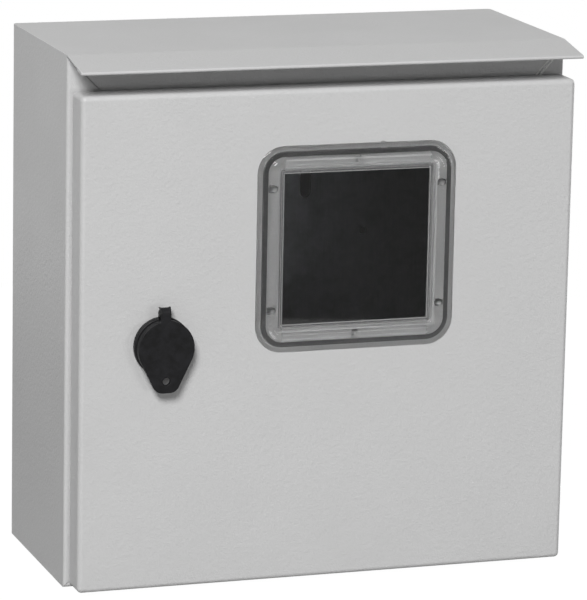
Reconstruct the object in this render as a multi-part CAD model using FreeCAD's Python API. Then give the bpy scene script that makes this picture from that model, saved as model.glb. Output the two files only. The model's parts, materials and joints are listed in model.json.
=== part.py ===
import FreeCAD
import Part
import math
import os

# Outdoor electricity meter box of folded steel sheet, in millimetres.
# +Z is up, the door faces -Y and +X is to the right of someone facing the door.
# The origin is the middle of the four wall holes, on the outer face of the back.

# Cabinet
WIDTH = 300.0
HEIGHT = 310.0
BODY_DEPTH = 120.0
SHEET = 1.0
BEND = 1.0
BACK_BEND = 1.5
SIDE_FLANGE = 28.0
TOP_FLANGE = 42.0
LIP_DEPTH = 12.0
REAR_FLANGE = 12.0
MITRE_GAP = 0.25
TOP_RIGHT_MITRE = 1.2
WALL_HOLE_R = 4.0
WALL_HOLE_INSET = 30.0

# Rain visor: the roof sheet, bent down in front and hemmed
VISOR_REACH = 30.0
VISOR_ANGLE = 10.0
HEM_GAP = 0.1
HEM_DEPTH = 9.0
ROOF_EDGE_ROUND = 0.4

# Door
DOOR_GAP = 1.5
DOOR_DEPTH = 18.1
DOOR_LEFT_INSET = 3.1
DOOR_RIGHT_INSET = 0.1
DOOR_TOP_DROP = 20.7
DOOR_BOTTOM_RISE = 1.5
DOOR_BEND = 2.9
DOOR_GASKET_WIDTH = 10.0
GASKET_CLEARANCE = 0.4

# Window: measured on its section from the outer edge inwards, and out from the door
WINDOW_SIZE = 120.0
WINDOW_RIGHT_SHARE = 0.2465
WINDOW_FROM_TOP = 32.3
WINDOW_CORNER = 16.0
INNER_CORNER = 1.2
RIM_EDGE = 0.6
RIM_WIDTH = 3.05
RIM_HEIGHT = 2.05
RIDGE_START = 6.2
RIDGE_SLOPE = 1.0
RIDGE_HEIGHT = 3.7
RIDGE_END = 12.2
PANE_EDGE = 15.9
PANE_FACE = 0.6
PANE_THICKNESS = 2.0
CUTOUT_EDGE = 12.6
PLUG_EDGE = 14.2
SEAL_START = 3.3
SEAL_WIDTH = 2.7
SEAL_HEIGHT = 1.0
WINDOW_PIN_R = 1.9
WINDOW_PIN_LENGTH = 2.7
WINDOW_PIN_INSET = 9.2
WINDOW_PIN_RISE = 35.5
PIN_HOLE_CLEARANCE = 0.4
DIMPLE_DEPTH = 0.4
CLIP_R = 4.5
CLIP_THICKNESS = 0.6
CLIP_CLEARANCE = 0.03
GATE_NUB_X = 15.5
GATE_NUB_R = 2.5
GATE_NUB_RISE = 0.8

# Concealed hinges at the right edge of the door
HINGE_FROM_DOOR_END = 49.0
KNUCKLE_R = 3.8
KNUCKLE_FACE_GAP = 0.8
KNUCKLE_LENGTH = 14.0
DOOR_KNUCKLE_LENGTH = 9.0
KNUCKLE_CLEARANCE = 0.3
PIN_R = 2.0
PIN_CLEARANCE = 0.06
PIN_HEAD_R = 3.0
PIN_HEAD_HEIGHT = 1.2
LEAF = 1.5
LEAF_WIDTH = 15.0
FOOT_WIDTH = 15.0
SWEEP_CLEARANCE = 0.25
NOTCH_CLEARANCE = 1.5

# Quarter-turn lock
LOCK_FROM_DOOR_EDGE = 48.1
LOCK_BELOW_MIDDLE = 0.4
COLLAR_R = 16.85
COLLAR_HEIGHT = 3.8
COLLAR_FLOOR = 1.0
COLLAR_ROUND = 0.6
HEAD_R = 13.0
HEAD_CLEARANCE = 0.3
HEAD_PROUD = 1.9
HEAD_ROUND = 0.8
NECK_R = 9.5
NECK_FLATS = 16.4
NECK_CLEARANCE = 0.25
BARREL_R = 6.0
BARREL_HEAD_R = 7.5
BARREL_HEAD = 2.0
BARREL_RECESS = 0.2
BARREL_CLEARANCE = 0.06
KEY_RECESS_R = 4.0
KEY_RECESS_DEPTH = 8.0
KEY_POST_R = 1.5
KEY_WING = 5.6
KEY_WING_THICKNESS = 1.6
CAM_GAP = 0.8
CAM_THICKNESS = 2.0
CAM_WIDTH = 14.0
CAM_LENGTH = 35.0
CAM_SQUARE = 7.0
CAM_FACE_GAP = 0.5
LOCK_WASHER = 1.0
LOCK_WASHER_R = 13.0
LOCK_NUT = 5.0
LOCK_NUT_FLATS = 24.0
CAM_SCREW_R = 2.5
CAM_SCREW_FLATS = 8.0
CAM_SCREW_HEAD = 3.5
CAM_SCREW_LENGTH = 10.0
CAM_WASHER = 1.0
CAM_WASHER_R = 6.0

# Hinged cap over the lock: a cup with a tail, hanging a little off centre on its strap
CAP_R = 16.6
CAP_SHIFT_X = 0.7
CAP_SHIFT_Z = -0.6
CAP_PLATE = 2.4
CAP_CUP = 4.5
CAP_WALL = 1.6
CAP_CLEARANCE = 0.3
CAP_TAIL = 25.7
CAP_TAIL_ANGLE = 26.3
CAP_TAIL_ROUND = 5.9
CAP_EDGE_ROUND = 0.6
CAP_HOLE_R = 2.2
CAP_HOLE_DROP = 18.7
STRAP_WIDTH = 6.2
STRAP_THICKNESS = 1.2
STRAP_ROLL_R = 3.8
STRAP_ROLL_END = 80.0
STRAP_AXIS_RISE = 19.6
STRAP_BURIED = 1.5
LUG_THICKNESS = 1.1
LUG_TOP_DROP = 1.0
LUG_BURIED = 2.5

# Mounting panel behind the window, on four spacers
PANEL_SIDE_ROOM = 40.0
PANEL_END_ROOM = 7.0
WALL_TO_PANEL = 48.0
PANEL_SHEET = 1.5
PANEL_FLANGE = 10.0
METER_SLOT_R = 3.25
METER_SLOT_RISE = 11.0
METER_SLOT_LENGTH = 40.0
METER_HOLE_R = 2.1
METER_HOLE_SPACING_X = 73.6
METER_HOLE_SPACING_Z = 110.0
METER_HOLE_DROP = 10.7
STUD_INSET = 15.0

# M6 fasteners
STUD_R = 3.0
STUD_HOLE_CLEARANCE = 0.3
SPACER_FLATS = 10.0
NUT_FLATS = 10.0
NUT_HEIGHT = 5.0
WASHER_R = 6.0
WASHER = 1.2
THREAD_CLEARANCE = 0.02
STUD_END = 2.0
STUD_BASE_R = 5.0
STUD_BASE = 1.0
BODY_EARTH_FROM_SIDE = 50.0
WALL_TO_EARTH = 90.0
DOOR_EARTH_INSET = 24.0

# Cable entries in the bottom
ENTRY_R = 14.0
ENTRY_FROM_SIDE = 90.0
WALL_TO_ENTRY = 66.0
GROMMET_LIP = 3.0
GROMMET_LIP_THICKNESS = 1.5
GROMMET_INNER_LIP = 2.0
GROMMET_WALL = 2.5
GROMMET_MEMBRANE = 1.0
GROMMET_CONE = 6.0
GROMMET_CONE_R = 6.0

# Places worked out from the sizes above
LEFT = -WIDTH / 2
RIGHT = WIDTH / 2
ROOF_TOP = HEIGHT / 2
BOTTOM = -HEIGHT / 2
SHELL_TOP = ROOF_TOP - SHEET
FRONT = -BODY_DEPTH
OPENING_HALF = WIDTH / 2 - SIDE_FLANGE
OPENING_TOP = SHELL_TOP - TOP_FLANGE
OPENING_BOTTOM = BOTTOM + SIDE_FLANGE
LIP_FRONT = FRONT - LIP_DEPTH
FOLD = BEND + SHEET
DOOR_REAR = FRONT - DOOR_GAP
DOOR_FRONT = DOOR_REAR - DOOR_DEPTH
DOOR_INNER = DOOR_FRONT + SHEET
DOOR_LEFT = LEFT + DOOR_LEFT_INSET
DOOR_RIGHT = RIGHT - DOOR_RIGHT_INSET
DOOR_TOP = ROOF_TOP - DOOR_TOP_DROP
DOOR_BOTTOM = BOTTOM + DOOR_BOTTOM_RISE
DOOR_MIDDLE = (DOOR_TOP + DOOR_BOTTOM) / 2
WALL_HOLE_X = WIDTH / 2 - WALL_HOLE_INSET
WALL_HOLE_Z = HEIGHT / 2 - WALL_HOLE_INSET
WINDOW_FROM_RIGHT = (DOOR_RIGHT - DOOR_LEFT) * WINDOW_RIGHT_SHARE
WINDOW_X = DOOR_RIGHT - WINDOW_FROM_RIGHT - WINDOW_SIZE / 2
WINDOW_Z = DOOR_TOP - WINDOW_FROM_TOP - WINDOW_SIZE / 2
LOCK_X = DOOR_LEFT + LOCK_FROM_DOOR_EDGE
LOCK_Z = DOOR_MIDDLE - LOCK_BELOW_MIDDLE
ENTRY_X = WIDTH / 2 - ENTRY_FROM_SIDE
BODY_EARTH_X = WIDTH / 2 - BODY_EARTH_FROM_SIDE
DOOR_EARTH_X = OPENING_HALF - DOOR_EARTH_INSET
DOOR_EARTH_Z = OPENING_BOTTOM + DOOR_EARTH_INSET
PANEL_WIDTH = WIDTH - 2 * PANEL_SIDE_ROOM
PANEL_HEIGHT = OPENING_TOP - OPENING_BOTTOM - 2 * PANEL_END_ROOM
PANEL_FRONT = -WALL_TO_PANEL
PANEL_BACK = PANEL_FRONT + PANEL_SHEET
PANEL_MIDDLE = (OPENING_TOP + OPENING_BOTTOM) / 2
CAM_FRONT = FRONT + SHEET + CAM_GAP
CAM_REAR = CAM_FRONT + CAM_THICKNESS
HEAD_FRONT = DOOR_FRONT - COLLAR_HEIGHT - HEAD_PROUD
BARREL_FRONT = HEAD_FRONT + BARREL_RECESS
CAP_REAR = DOOR_FRONT - COLLAR_HEIGHT - CAP_CLEARANCE
CAP_FRONT = CAP_REAR - CAP_CUP
CAP_X = LOCK_X + CAP_SHIFT_X
CAP_Z = LOCK_Z + CAP_SHIFT_Z
STRAP_Y = CAP_FRONT + STRAP_ROLL_R
STRAP_Z = LOCK_Z + STRAP_AXIS_RISE

# The hinge axis stands so far in from the door's edge that the rear corner of the
# door turns past the flange with the sweep clearance to spare.
AXIS_Y = DOOR_INNER + KNUCKLE_R + KNUCKLE_FACE_GAP
AXIS_TO_REAR = DOOR_REAR - AXIS_Y
SWEEP_ROOM = DOOR_GAP - SWEEP_CLEARANCE
AXIS_X = DOOR_RIGHT - math.sqrt(SWEEP_ROOM * (2 * AXIS_TO_REAR + SWEEP_ROOM))
HINGE_LEVELS = [DOOR_BOTTOM + HINGE_FROM_DOOR_END, DOOR_TOP - HINGE_FROM_DOOR_END]

X_AXIS = FreeCAD.Vector(1, 0, 0)
Y_AXIS = FreeCAD.Vector(0, 1, 0)
Z_AXIS = FreeCAD.Vector(0, 0, 1)
OVERCUT = 1.0
# Two places nearer to each other than this are one place
TOUCHING = 1e-6
# An edge that rises by more than this part of its length runs along Z
RISING = 0.5


# Plain shapes

def vec(x, y, z=0.0):
    return FreeCAD.Vector(x, y, z)


def block(x_range, y_range, z_range):
    low = vec(x_range[0], y_range[0], z_range[0])
    size = vec(x_range[1], y_range[1], z_range[1]) - low
    return Part.makeBox(size.x, size.y, size.z, low)


def rod(radius, start, axis, length):
    return Part.makeCylinder(radius, length, start, axis)


def ring(outer, inner, start, axis, length):
    margin = axis * OVERCUT
    hole = rod(inner, start - margin, axis, length + 2 * OVERCUT)
    return rod(outer, start, axis, length).cut(hole)


def hexagon(flats, start, axis, length):
    corner = flats / math.sqrt(3)
    points = []
    for step in range(7):
        angle = math.radians(60 * step)
        points.append(vec(corner * math.cos(angle), corner * math.sin(angle)))
    prism = Part.Face(Part.makePolygon(points)).extrude(vec(0, 0, length))
    prism.Placement = FreeCAD.Placement(start, FreeCAD.Rotation(Z_AXIS, axis))
    return prism


def turned(profile, centre, axis):
    """A solid of revolution; the profile is radius and height pairs, upwards from the centre."""
    points = [vec(radius, 0, height) for radius, height in profile]
    face = Part.Face(Part.makePolygon(points + points[:1]))
    solid = face.revolve(vec(0, 0, 0), Z_AXIS, 360)
    solid.Placement = FreeCAD.Placement(centre, FreeCAD.Rotation(Z_AXIS, axis))
    return solid


def rounded_outline(half, corner, y):
    """The window's rounded square at depth y, drawn about the middle of the window."""
    inner = half - corner
    edges = []
    for step in range(4):
        turn = FreeCAD.Rotation(Y_AXIS, 90 * step)
        diagonal = corner * math.sqrt(0.5)
        side = Part.LineSegment(turn * vec(half, 0, -inner), turn * vec(half, 0, inner))
        start = turn * vec(half, 0, inner)
        middle = turn * vec(inner + diagonal, 0, inner + diagonal)
        end = turn * vec(inner, 0, half)
        edges.append(side.toShape())
        edges.append(Part.Arc(start, middle, end).toShape())
    wire = Part.Wire(Part.sortEdges(edges)[0])
    wire.translate(vec(WINDOW_X, y, WINDOW_Z))
    return wire


def window_outline(inset, height):
    """The window's outline so far in from its edge and so far out from the door's face."""
    corner = max(WINDOW_CORNER - inset, INNER_CORNER)
    return rounded_outline(WINDOW_SIZE / 2 - inset, corner, DOOR_FRONT - height)


def window_layer(start, end):
    """The solid between two insets and heights of the window's section."""
    return Part.makeLoft([window_outline(*start), window_outline(*end)], True, True)


def window_pin_places():
    """Four pins at the sides of the window, one above and one below."""
    reach = WINDOW_SIZE / 2 - WINDOW_PIN_INSET
    places = [(0.0, reach), (0.0, -reach)]
    for side in (-1, 1):
        for rise in (-1, 1):
            places.append((side * reach, rise * WINDOW_PIN_RISE))
    return [(WINDOW_X + x, WINDOW_Z + z) for x, z in places]


# Folded sheet

def shifted_path(points, distance):
    """An open path moved to its left by the distance."""
    runs = []
    for start, end in zip(points, points[1:]):
        along = (end - start).normalize()
        aside = vec(-along.y, along.x) * distance
        runs.append((start + aside, end + aside, along))
    moved = [runs[0][0]]
    for (_, end, along), (start, _, onward) in zip(runs, runs[1:]):
        turn = along.x * onward.y - along.y * onward.x
        gap = start - end
        travel = (gap.x * onward.y - gap.y * onward.x) / turn
        moved.append(end + along * travel)
    moved.append(runs[-1][1])
    return moved


def path_turns(points):
    """+1 where the path turns left and -1 where it turns right."""
    turns = []
    for before, corner, after in zip(points, points[1:], points[2:]):
        cross = (corner - before).cross(after - corner)
        turns.append(math.copysign(1.0, cross.z))
    return turns


def bent_edges(points, radii):
    """Straight runs joined by tangent arcs of the given radii."""
    edges = []
    start = points[0]
    for before, corner, after, radius in zip(points, points[1:], points[2:], radii):
        back = (before - corner).normalize()
        onward = (after - corner).normalize()
        half_angle = back.getAngle(onward) / 2
        trim = radius / math.tan(half_angle)
        middle = (back + onward).normalize()
        centre = corner + middle * (radius / math.sin(half_angle))
        arc_start = corner + back * trim
        arc_end = corner + onward * trim
        if start.distanceToPoint(arc_start) > TOUCHING:
            edges.append(Part.LineSegment(start, arc_start).toShape())
        edges.append(Part.Arc(arc_start, centre - middle * radius, arc_end).toShape())
        start = arc_end
    edges.append(Part.LineSegment(start, points[-1]).toShape())
    return edges


def folded(points, radii, thickness, length):
    """A sheet bent along the path of its middle plane in XY, so long along Z."""
    half = thickness / 2
    turns = path_turns(points)
    left = shifted_path(points, half)
    right = shifted_path(points, -half)
    left_radii = [radius - turn * half for radius, turn in zip(radii, turns)]
    right_radii = [radius + turn * half for radius, turn in zip(radii, turns)]
    edges = bent_edges(left, left_radii) + bent_edges(right, right_radii)
    edges.append(Part.LineSegment(left[0], right[0]).toShape())
    edges.append(Part.LineSegment(left[-1], right[-1]).toShape())
    face = Part.Face(Part.Wire(Part.sortEdges(edges)[0]))
    return face.extrude(vec(0, 0, length))


def along_x(solid, x):
    """Turns a solid drawn in XY along Z into one drawn in YZ along X, starting at x."""
    turn = FreeCAD.Rotation(vec(1, 1, 1), 120)
    solid.Placement = FreeCAD.Placement(vec(x, 0, 0), turn)
    return solid


# Cabinet

def mitre(side, slope, edge, inward, flange, grow):
    """One joint between a side and an end plate, from the outer corner to the opening."""
    step_in = SIDE_FLANGE - FOLD
    deep_in = flange - FOLD
    half = WIDTH / 2
    joint = [
        (half, 0),
        (half - step_in, min(step_in * slope, deep_in)),
        (half - step_in, deep_in),
        (half - SIDE_FLANGE, flange),
    ]
    return [vec(side * (x + grow), LIP_FRONT - OVERCUT, edge + inward * (z + grow)) for x, z in joint]


def flange_zone(edge, inward, flange, grow, right_slope=1.0):
    """The front corner region of the top or bottom plate, up to its mitres with the sides."""
    right = mitre(1, right_slope, edge, inward, flange, grow)
    left = mitre(-1, 1.0, edge, inward, flange, grow)
    outside = edge - inward * OVERCUT
    outline = right + left[::-1]
    outline += [vec(left[0].x, left[0].y, outside), vec(right[0].x, right[0].y, outside)]
    points = outline[:1]
    for point in outline[1:]:
        if points[-1].distanceToPoint(point) > TOUCHING:
            points.append(point)
    face = Part.Face(Part.makePolygon(points + points[:1]))
    return face.extrude(vec(0, LIP_DEPTH + FOLD + OVERCUT, 0))


def make_body_wrap():
    """Both sides and the back, folded from one sheet, with flanges and lips in front."""
    half = SHEET / 2
    wall = WIDTH / 2 - half
    lip = OPENING_HALF + half
    path = [
        vec(-lip, LIP_FRONT), vec(-lip, FRONT + half), vec(-wall, FRONT + half), vec(-wall, -half),
        vec(wall, -half), vec(wall, FRONT + half), vec(lip, FRONT + half), vec(lip, LIP_FRONT),
    ]
    fold = BEND + half
    back_fold = BACK_BEND + half
    radii = [fold, fold, back_fold, back_fold, fold, fold]
    wrap = folded(path, radii, SHEET, SHELL_TOP - BOTTOM)
    wrap.translate(vec(0, 0, BOTTOM))
    wrap = wrap.cut(flange_zone(SHELL_TOP, -1, TOP_FLANGE, MITRE_GAP, TOP_RIGHT_MITRE))
    wrap = wrap.cut(flange_zone(BOTTOM, 1, SIDE_FLANGE, MITRE_GAP))
    for x in (-WALL_HOLE_X, WALL_HOLE_X):
        for z in (-WALL_HOLE_Z, WALL_HOLE_Z):
            wrap = wrap.cut(rod(WALL_HOLE_R, vec(x, -SHEET - OVERCUT, z), Y_AXIS, SHEET + 2 * OVERCUT))
    return wrap


def plate_plan():
    """The room between the sides and the back, which the top and bottom plates fill."""
    half = WIDTH / 2 - SHEET
    room = block((-half, half), (FRONT + FOLD, -SHEET), (BOTTOM, SHELL_TOP))
    corners = [
        edge for edge in room.Edges
        if abs(edge.tangentAt(edge.FirstParameter).z) > RISING and edge.CenterOfMass.y > -SHEET - TOUCHING
    ]
    return room.makeFillet(BACK_BEND, corners)


def make_end_plate(edge, inward, flange, right_slope=1.0):
    """The top or bottom plate: a rear flange, the plate, a front flange and its lip."""
    half = SHEET / 2
    plate = edge + inward * half
    lip = edge + inward * (flange - half)
    rear = -SHEET - half
    path = [
        vec(rear, edge + inward * REAR_FLANGE), vec(rear, plate), vec(FRONT + half, plate),
        vec(FRONT + half, lip), vec(LIP_FRONT, lip),
    ]
    fold = BEND + half
    sheet = along_x(folded(path, [fold, fold, fold], SHEET, WIDTH), LEFT)
    front = sheet.common(flange_zone(edge, inward, flange, 0, right_slope))
    rest = sheet.common(plate_plan())
    return front.fuse(rest).removeSplitter()


def make_bottom_plate():
    plate = make_end_plate(BOTTOM, 1, SIDE_FLANGE)
    for x in (-ENTRY_X, ENTRY_X):
        start = vec(x, -WALL_TO_ENTRY, BOTTOM - OVERCUT)
        plate = plate.cut(rod(ENTRY_R, start, Z_AXIS, SHEET + 2 * OVERCUT))
    return plate


def make_rain_visor():
    """The roof sheet: flat over the body, bent down in front and hemmed under itself."""
    half = SHEET / 2
    slope = math.radians(VISOR_ANGLE)
    along = vec(-math.cos(slope), -math.sin(slope))
    down = vec(math.sin(slope), -math.cos(slope))
    hem_step = SHEET + HEM_GAP
    bend = vec(FRONT, ROOF_TOP - half)
    nose_reach = VISOR_REACH - (SHEET + HEM_GAP / 2) * (1 - math.cos(slope))
    tip = bend + along * ((nose_reach - half) / math.cos(slope))
    under = tip + down * hem_step
    path = [vec(0, ROOF_TOP - half), bend, tip, under, under - along * HEM_DEPTH]
    radii = [BEND + half, hem_step / 2, hem_step / 2]
    visor = along_x(folded(path, radii, SHEET, WIDTH), LEFT)
    rear = [
        edge for edge in visor.Edges
        if edge.CenterOfMass.y > -TOUCHING and abs(edge.tangentAt(edge.FirstParameter).z) > RISING
    ]
    visor = visor.makeFillet(BACK_BEND + SHEET, rear)
    top_rim = [
        edge for edge in visor.Edges
        if edge.BoundBox.ZMin > ROOF_TOP - TOUCHING and edge.BoundBox.XLength < WIDTH / 2
    ]
    return visor.makeFillet(ROOF_EDGE_ROUND, top_rim)


# Mounting panel and its fasteners

def stud_places():
    places = []
    reach_x = PANEL_WIDTH / 2 - STUD_INSET
    reach_z = PANEL_HEIGHT / 2 - STUD_INSET
    for x in (-reach_x, reach_x):
        for z in (-reach_z, reach_z):
            places.append((x, PANEL_MIDDLE + z))
    return places


def make_mounting_panel():
    """A flat panel with stiffening flanges turned back, a meter slot, and four meter holes."""
    half = PANEL_SHEET / 2
    side = PANEL_WIDTH / 2 - half
    path = [
        vec(-side, PANEL_FRONT + PANEL_FLANGE), vec(-side, PANEL_FRONT + half),
        vec(side, PANEL_FRONT + half), vec(side, PANEL_FRONT + PANEL_FLANGE),
    ]
    fold = BEND + half
    panel = folded(path, [fold, fold], PANEL_SHEET, PANEL_HEIGHT)
    panel.translate(vec(0, 0, PANEL_MIDDLE - PANEL_HEIGHT / 2))
    before = PANEL_FRONT - OVERCUT
    through = PANEL_SHEET + 2 * OVERCUT
    for x, z in stud_places():
        panel = panel.cut(rod(STUD_R + STUD_HOLE_CLEARANCE, vec(x, before, z), Y_AXIS, through))
    low = WINDOW_Z + METER_SLOT_RISE + METER_SLOT_R
    high = low + METER_SLOT_LENGTH - 2 * METER_SLOT_R
    sides = (WINDOW_X - METER_SLOT_R, WINDOW_X + METER_SLOT_R)
    panel = panel.cut(block(sides, (before, before + through), (low, high)))
    for z in (low, high):
        panel = panel.cut(rod(METER_SLOT_R, vec(WINDOW_X, before, z), Y_AXIS, through))
    top = WINDOW_Z - METER_HOLE_DROP
    for x in (-METER_HOLE_SPACING_X / 2, METER_HOLE_SPACING_X / 2):
        for z in (top, top - METER_HOLE_SPACING_Z):
            panel = panel.cut(rod(METER_HOLE_R, vec(WINDOW_X + x, before, z), Y_AXIS, through))
    return panel


def make_panel_studs():
    """Hexagonal spacers from the back to the panel, each with a threaded end through it."""
    spacer = -SHEET - PANEL_BACK
    end = PANEL_SHEET + WASHER + NUT_HEIGHT + STUD_END
    studs = []
    for x, z in stud_places():
        body = hexagon(SPACER_FLATS, vec(x, -SHEET, z), -Y_AXIS, spacer)
        studs.append(body.fuse(rod(STUD_R, vec(x, PANEL_BACK, z), -Y_AXIS, end)))
    return Part.makeCompound(studs)


def washer_at(start, axis):
    return ring(WASHER_R, STUD_R + THREAD_CLEARANCE, start, axis, WASHER)


def nut_at(start, axis):
    margin = axis * OVERCUT
    bore = rod(STUD_R + THREAD_CLEARANCE, start - margin, axis, NUT_HEIGHT + 2 * OVERCUT)
    return hexagon(NUT_FLATS, start, axis, NUT_HEIGHT).cut(bore)


def make_panel_washers():
    return Part.makeCompound([washer_at(vec(x, PANEL_FRONT, z), -Y_AXIS) for x, z in stud_places()])


def make_panel_nuts():
    seat = PANEL_FRONT - WASHER
    return Part.makeCompound([nut_at(vec(x, seat, z), -Y_AXIS) for x, z in stud_places()])


def earth_set(foot, axis):
    """A welded stud with its washer and nut, for an earth lead."""
    seat = foot + axis * STUD_BASE
    length = WASHER + NUT_HEIGHT + 2 * STUD_END
    stud = rod(STUD_BASE_R, foot, axis, STUD_BASE).fuse(rod(STUD_R, seat, axis, length))
    return stud, washer_at(seat, axis), nut_at(seat + axis * WASHER, axis)


# Cable entries

def make_cable_grommets():
    """Rubber plugs gripping the bottom plate, each with a thin cone to cut open."""
    lip = ENTRY_R + GROMMET_LIP
    inner = ENTRY_R - GROMMET_WALL
    low = -GROMMET_LIP_THICKNESS
    high = SHEET + GROMMET_INNER_LIP
    roof = high + GROMMET_CONE
    profile = [
        (inner, low), (lip, low), (lip, 0), (ENTRY_R, 0), (ENTRY_R, SHEET), (lip, SHEET),
        (lip - GROMMET_INNER_LIP, high), (inner, high), (GROMMET_CONE_R, roof), (0, roof),
        (0, roof - GROMMET_MEMBRANE), (GROMMET_CONE_R - GROMMET_MEMBRANE, roof - GROMMET_MEMBRANE),
        (inner - GROMMET_MEMBRANE, high - GROMMET_MEMBRANE), (inner, high - 2 * GROMMET_MEMBRANE),
    ]
    plugs = []
    for x in (-ENTRY_X, ENTRY_X):
        plugs.append(turned(profile, vec(x, -WALL_TO_ENTRY, BOTTOM), Z_AXIS))
    return Part.makeCompound(plugs)


# Hinges

def make_hinge_brackets():
    """On the cabinet: a foot on the flange, an arm forwards and the middle knuckle."""
    brackets = []
    arm_left = AXIS_X - KNUCKLE_R
    for level in HINGE_LEVELS:
        low = level - KNUCKLE_LENGTH / 2
        span = (low, low + KNUCKLE_LENGTH)
        foot = block((arm_left + LEAF - FOOT_WIDTH, arm_left + LEAF), (FRONT - LEAF, FRONT), span)
        arm = block((arm_left, arm_left + LEAF), (AXIS_Y, FRONT), span)
        bore = rod(PIN_R, vec(AXIS_X, AXIS_Y, low - OVERCUT), Z_AXIS, KNUCKLE_LENGTH + 2 * OVERCUT)
        round_end = rod(KNUCKLE_R, vec(AXIS_X, AXIS_Y, low), Z_AXIS, KNUCKLE_LENGTH)
        brackets.append(foot.fuse(arm).fuse(round_end).cut(bore).removeSplitter())
    return Part.makeCompound(brackets)


def make_hinge_leaves():
    """On the door: a leaf welded to its inner face, with a knuckle above and one below."""
    leaves = []
    bore = PIN_R + PIN_CLEARANCE
    reach = KNUCKLE_LENGTH / 2 + KNUCKLE_CLEARANCE
    for level in HINGE_LEVELS:
        low = level - reach - DOOR_KNUCKLE_LENGTH
        high = level + reach
        levels = (low, high + DOOR_KNUCKLE_LENGTH)
        plate = block((AXIS_X - LEAF_WIDTH, AXIS_X), (DOOR_INNER, DOOR_INNER + LEAF), levels)
        room_x = (AXIS_X - KNUCKLE_R - KNUCKLE_CLEARANCE, AXIS_X + OVERCUT)
        room_y = (DOOR_INNER - OVERCUT, DOOR_INNER + LEAF + OVERCUT)
        leaf = plate.cut(block(room_x, room_y, (low + DOOR_KNUCKLE_LENGTH, high)))
        for start in (low, high):
            leaf = leaf.fuse(rod(KNUCKLE_R, vec(AXIS_X, AXIS_Y, start), Z_AXIS, DOOR_KNUCKLE_LENGTH))
        length = high + DOOR_KNUCKLE_LENGTH - low + 2 * OVERCUT
        hole = rod(bore, vec(AXIS_X, AXIS_Y, low - OVERCUT), Z_AXIS, length)
        leaves.append(leaf.cut(hole).removeSplitter())
    return Part.makeCompound(leaves)


def make_hinge_pins():
    """Headed pins, pressed into the cabinet's knuckles."""
    pins = []
    reach = KNUCKLE_LENGTH / 2 + KNUCKLE_CLEARANCE + DOOR_KNUCKLE_LENGTH
    for level in HINGE_LEVELS:
        foot = vec(AXIS_X, AXIS_Y, level - reach)
        seat = vec(AXIS_X, AXIS_Y, level + reach + KNUCKLE_CLEARANCE)
        shank = rod(PIN_R, foot, Z_AXIS, seat.z - foot.z)
        pins.append(shank.fuse(rod(PIN_HEAD_R, seat, Z_AXIS, PIN_HEAD_HEIGHT)).removeSplitter())
    return Part.makeCompound(pins)


# Door

def pan_block(inset, rear):
    """The door's outline moved in by the inset, rounded at its front and at its corners."""
    sides = (DOOR_LEFT + inset, DOOR_RIGHT - inset)
    ends = (DOOR_BOTTOM + inset, DOOR_TOP - inset)
    shape = block(sides, (DOOR_FRONT + inset, rear), ends)
    rounded = [edge for edge in shape.Edges if edge.CenterOfMass.y < rear - TOUCHING]
    return shape.makeFillet(DOOR_BEND - inset, rounded)


def lock_cutter(radius, flats, start_y, length):
    """A round bar along the lock's axis with two flats, one above and one below."""
    bar = rod(radius, vec(LOCK_X, start_y, LOCK_Z), Y_AXIS, length)
    levels = (LOCK_Z - flats / 2, LOCK_Z + flats / 2)
    return bar.common(block((LOCK_X - radius, LOCK_X + radius), (start_y, start_y + length), levels))


def make_door_pan():
    """The door's tray, with the window cut-out, lock hole, pin holes and hinge notches."""
    pan = pan_block(0, DOOR_REAR).cut(pan_block(SHEET, DOOR_REAR + OVERCUT))
    pan = pan.cut(window_layer((CUTOUT_EDGE, OVERCUT), (CUTOUT_EDGE, -SHEET - OVERCUT)))
    before = DOOR_FRONT - OVERCUT
    through = SHEET + 2 * OVERCUT
    for x, z in window_pin_places():
        pan = pan.cut(rod(WINDOW_PIN_R + PIN_HOLE_CLEARANCE, vec(x, before, z), Y_AXIS, through))
    pan = pan.cut(lock_cutter(NECK_R + NECK_CLEARANCE, NECK_FLATS + 2 * NECK_CLEARANCE, before, through))
    half = KNUCKLE_LENGTH / 2 + NOTCH_CLEARANCE
    across = (DOOR_RIGHT - SHEET - OVERCUT, DOOR_RIGHT + OVERCUT)
    for level in HINGE_LEVELS:
        notch = block(across, (AXIS_Y - NOTCH_CLEARANCE, DOOR_REAR + OVERCUT), (level - half, level + half))
        pan = pan.cut(notch)
    return pan


def make_door_gasket():
    """A foam strip on the door's inner face, in front of the lip round the opening."""
    middle = SHEET / 2
    outer = DOOR_GASKET_WIDTH / 2 + middle
    inner = DOOR_GASKET_WIDTH / 2 - middle
    depth = (DOOR_INNER, LIP_FRONT - GASKET_CLEARANCE)
    deeper = (depth[0] - OVERCUT, depth[1] + OVERCUT)
    width = (-OPENING_HALF - outer, OPENING_HALF + outer)
    inner_width = (-OPENING_HALF + inner, OPENING_HALF - inner)
    frame = block(width, depth, (OPENING_BOTTOM - outer, OPENING_TOP + outer))
    return frame.cut(block(inner_width, deeper, (OPENING_BOTTOM + inner, OPENING_TOP - inner)))


# Window

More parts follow.
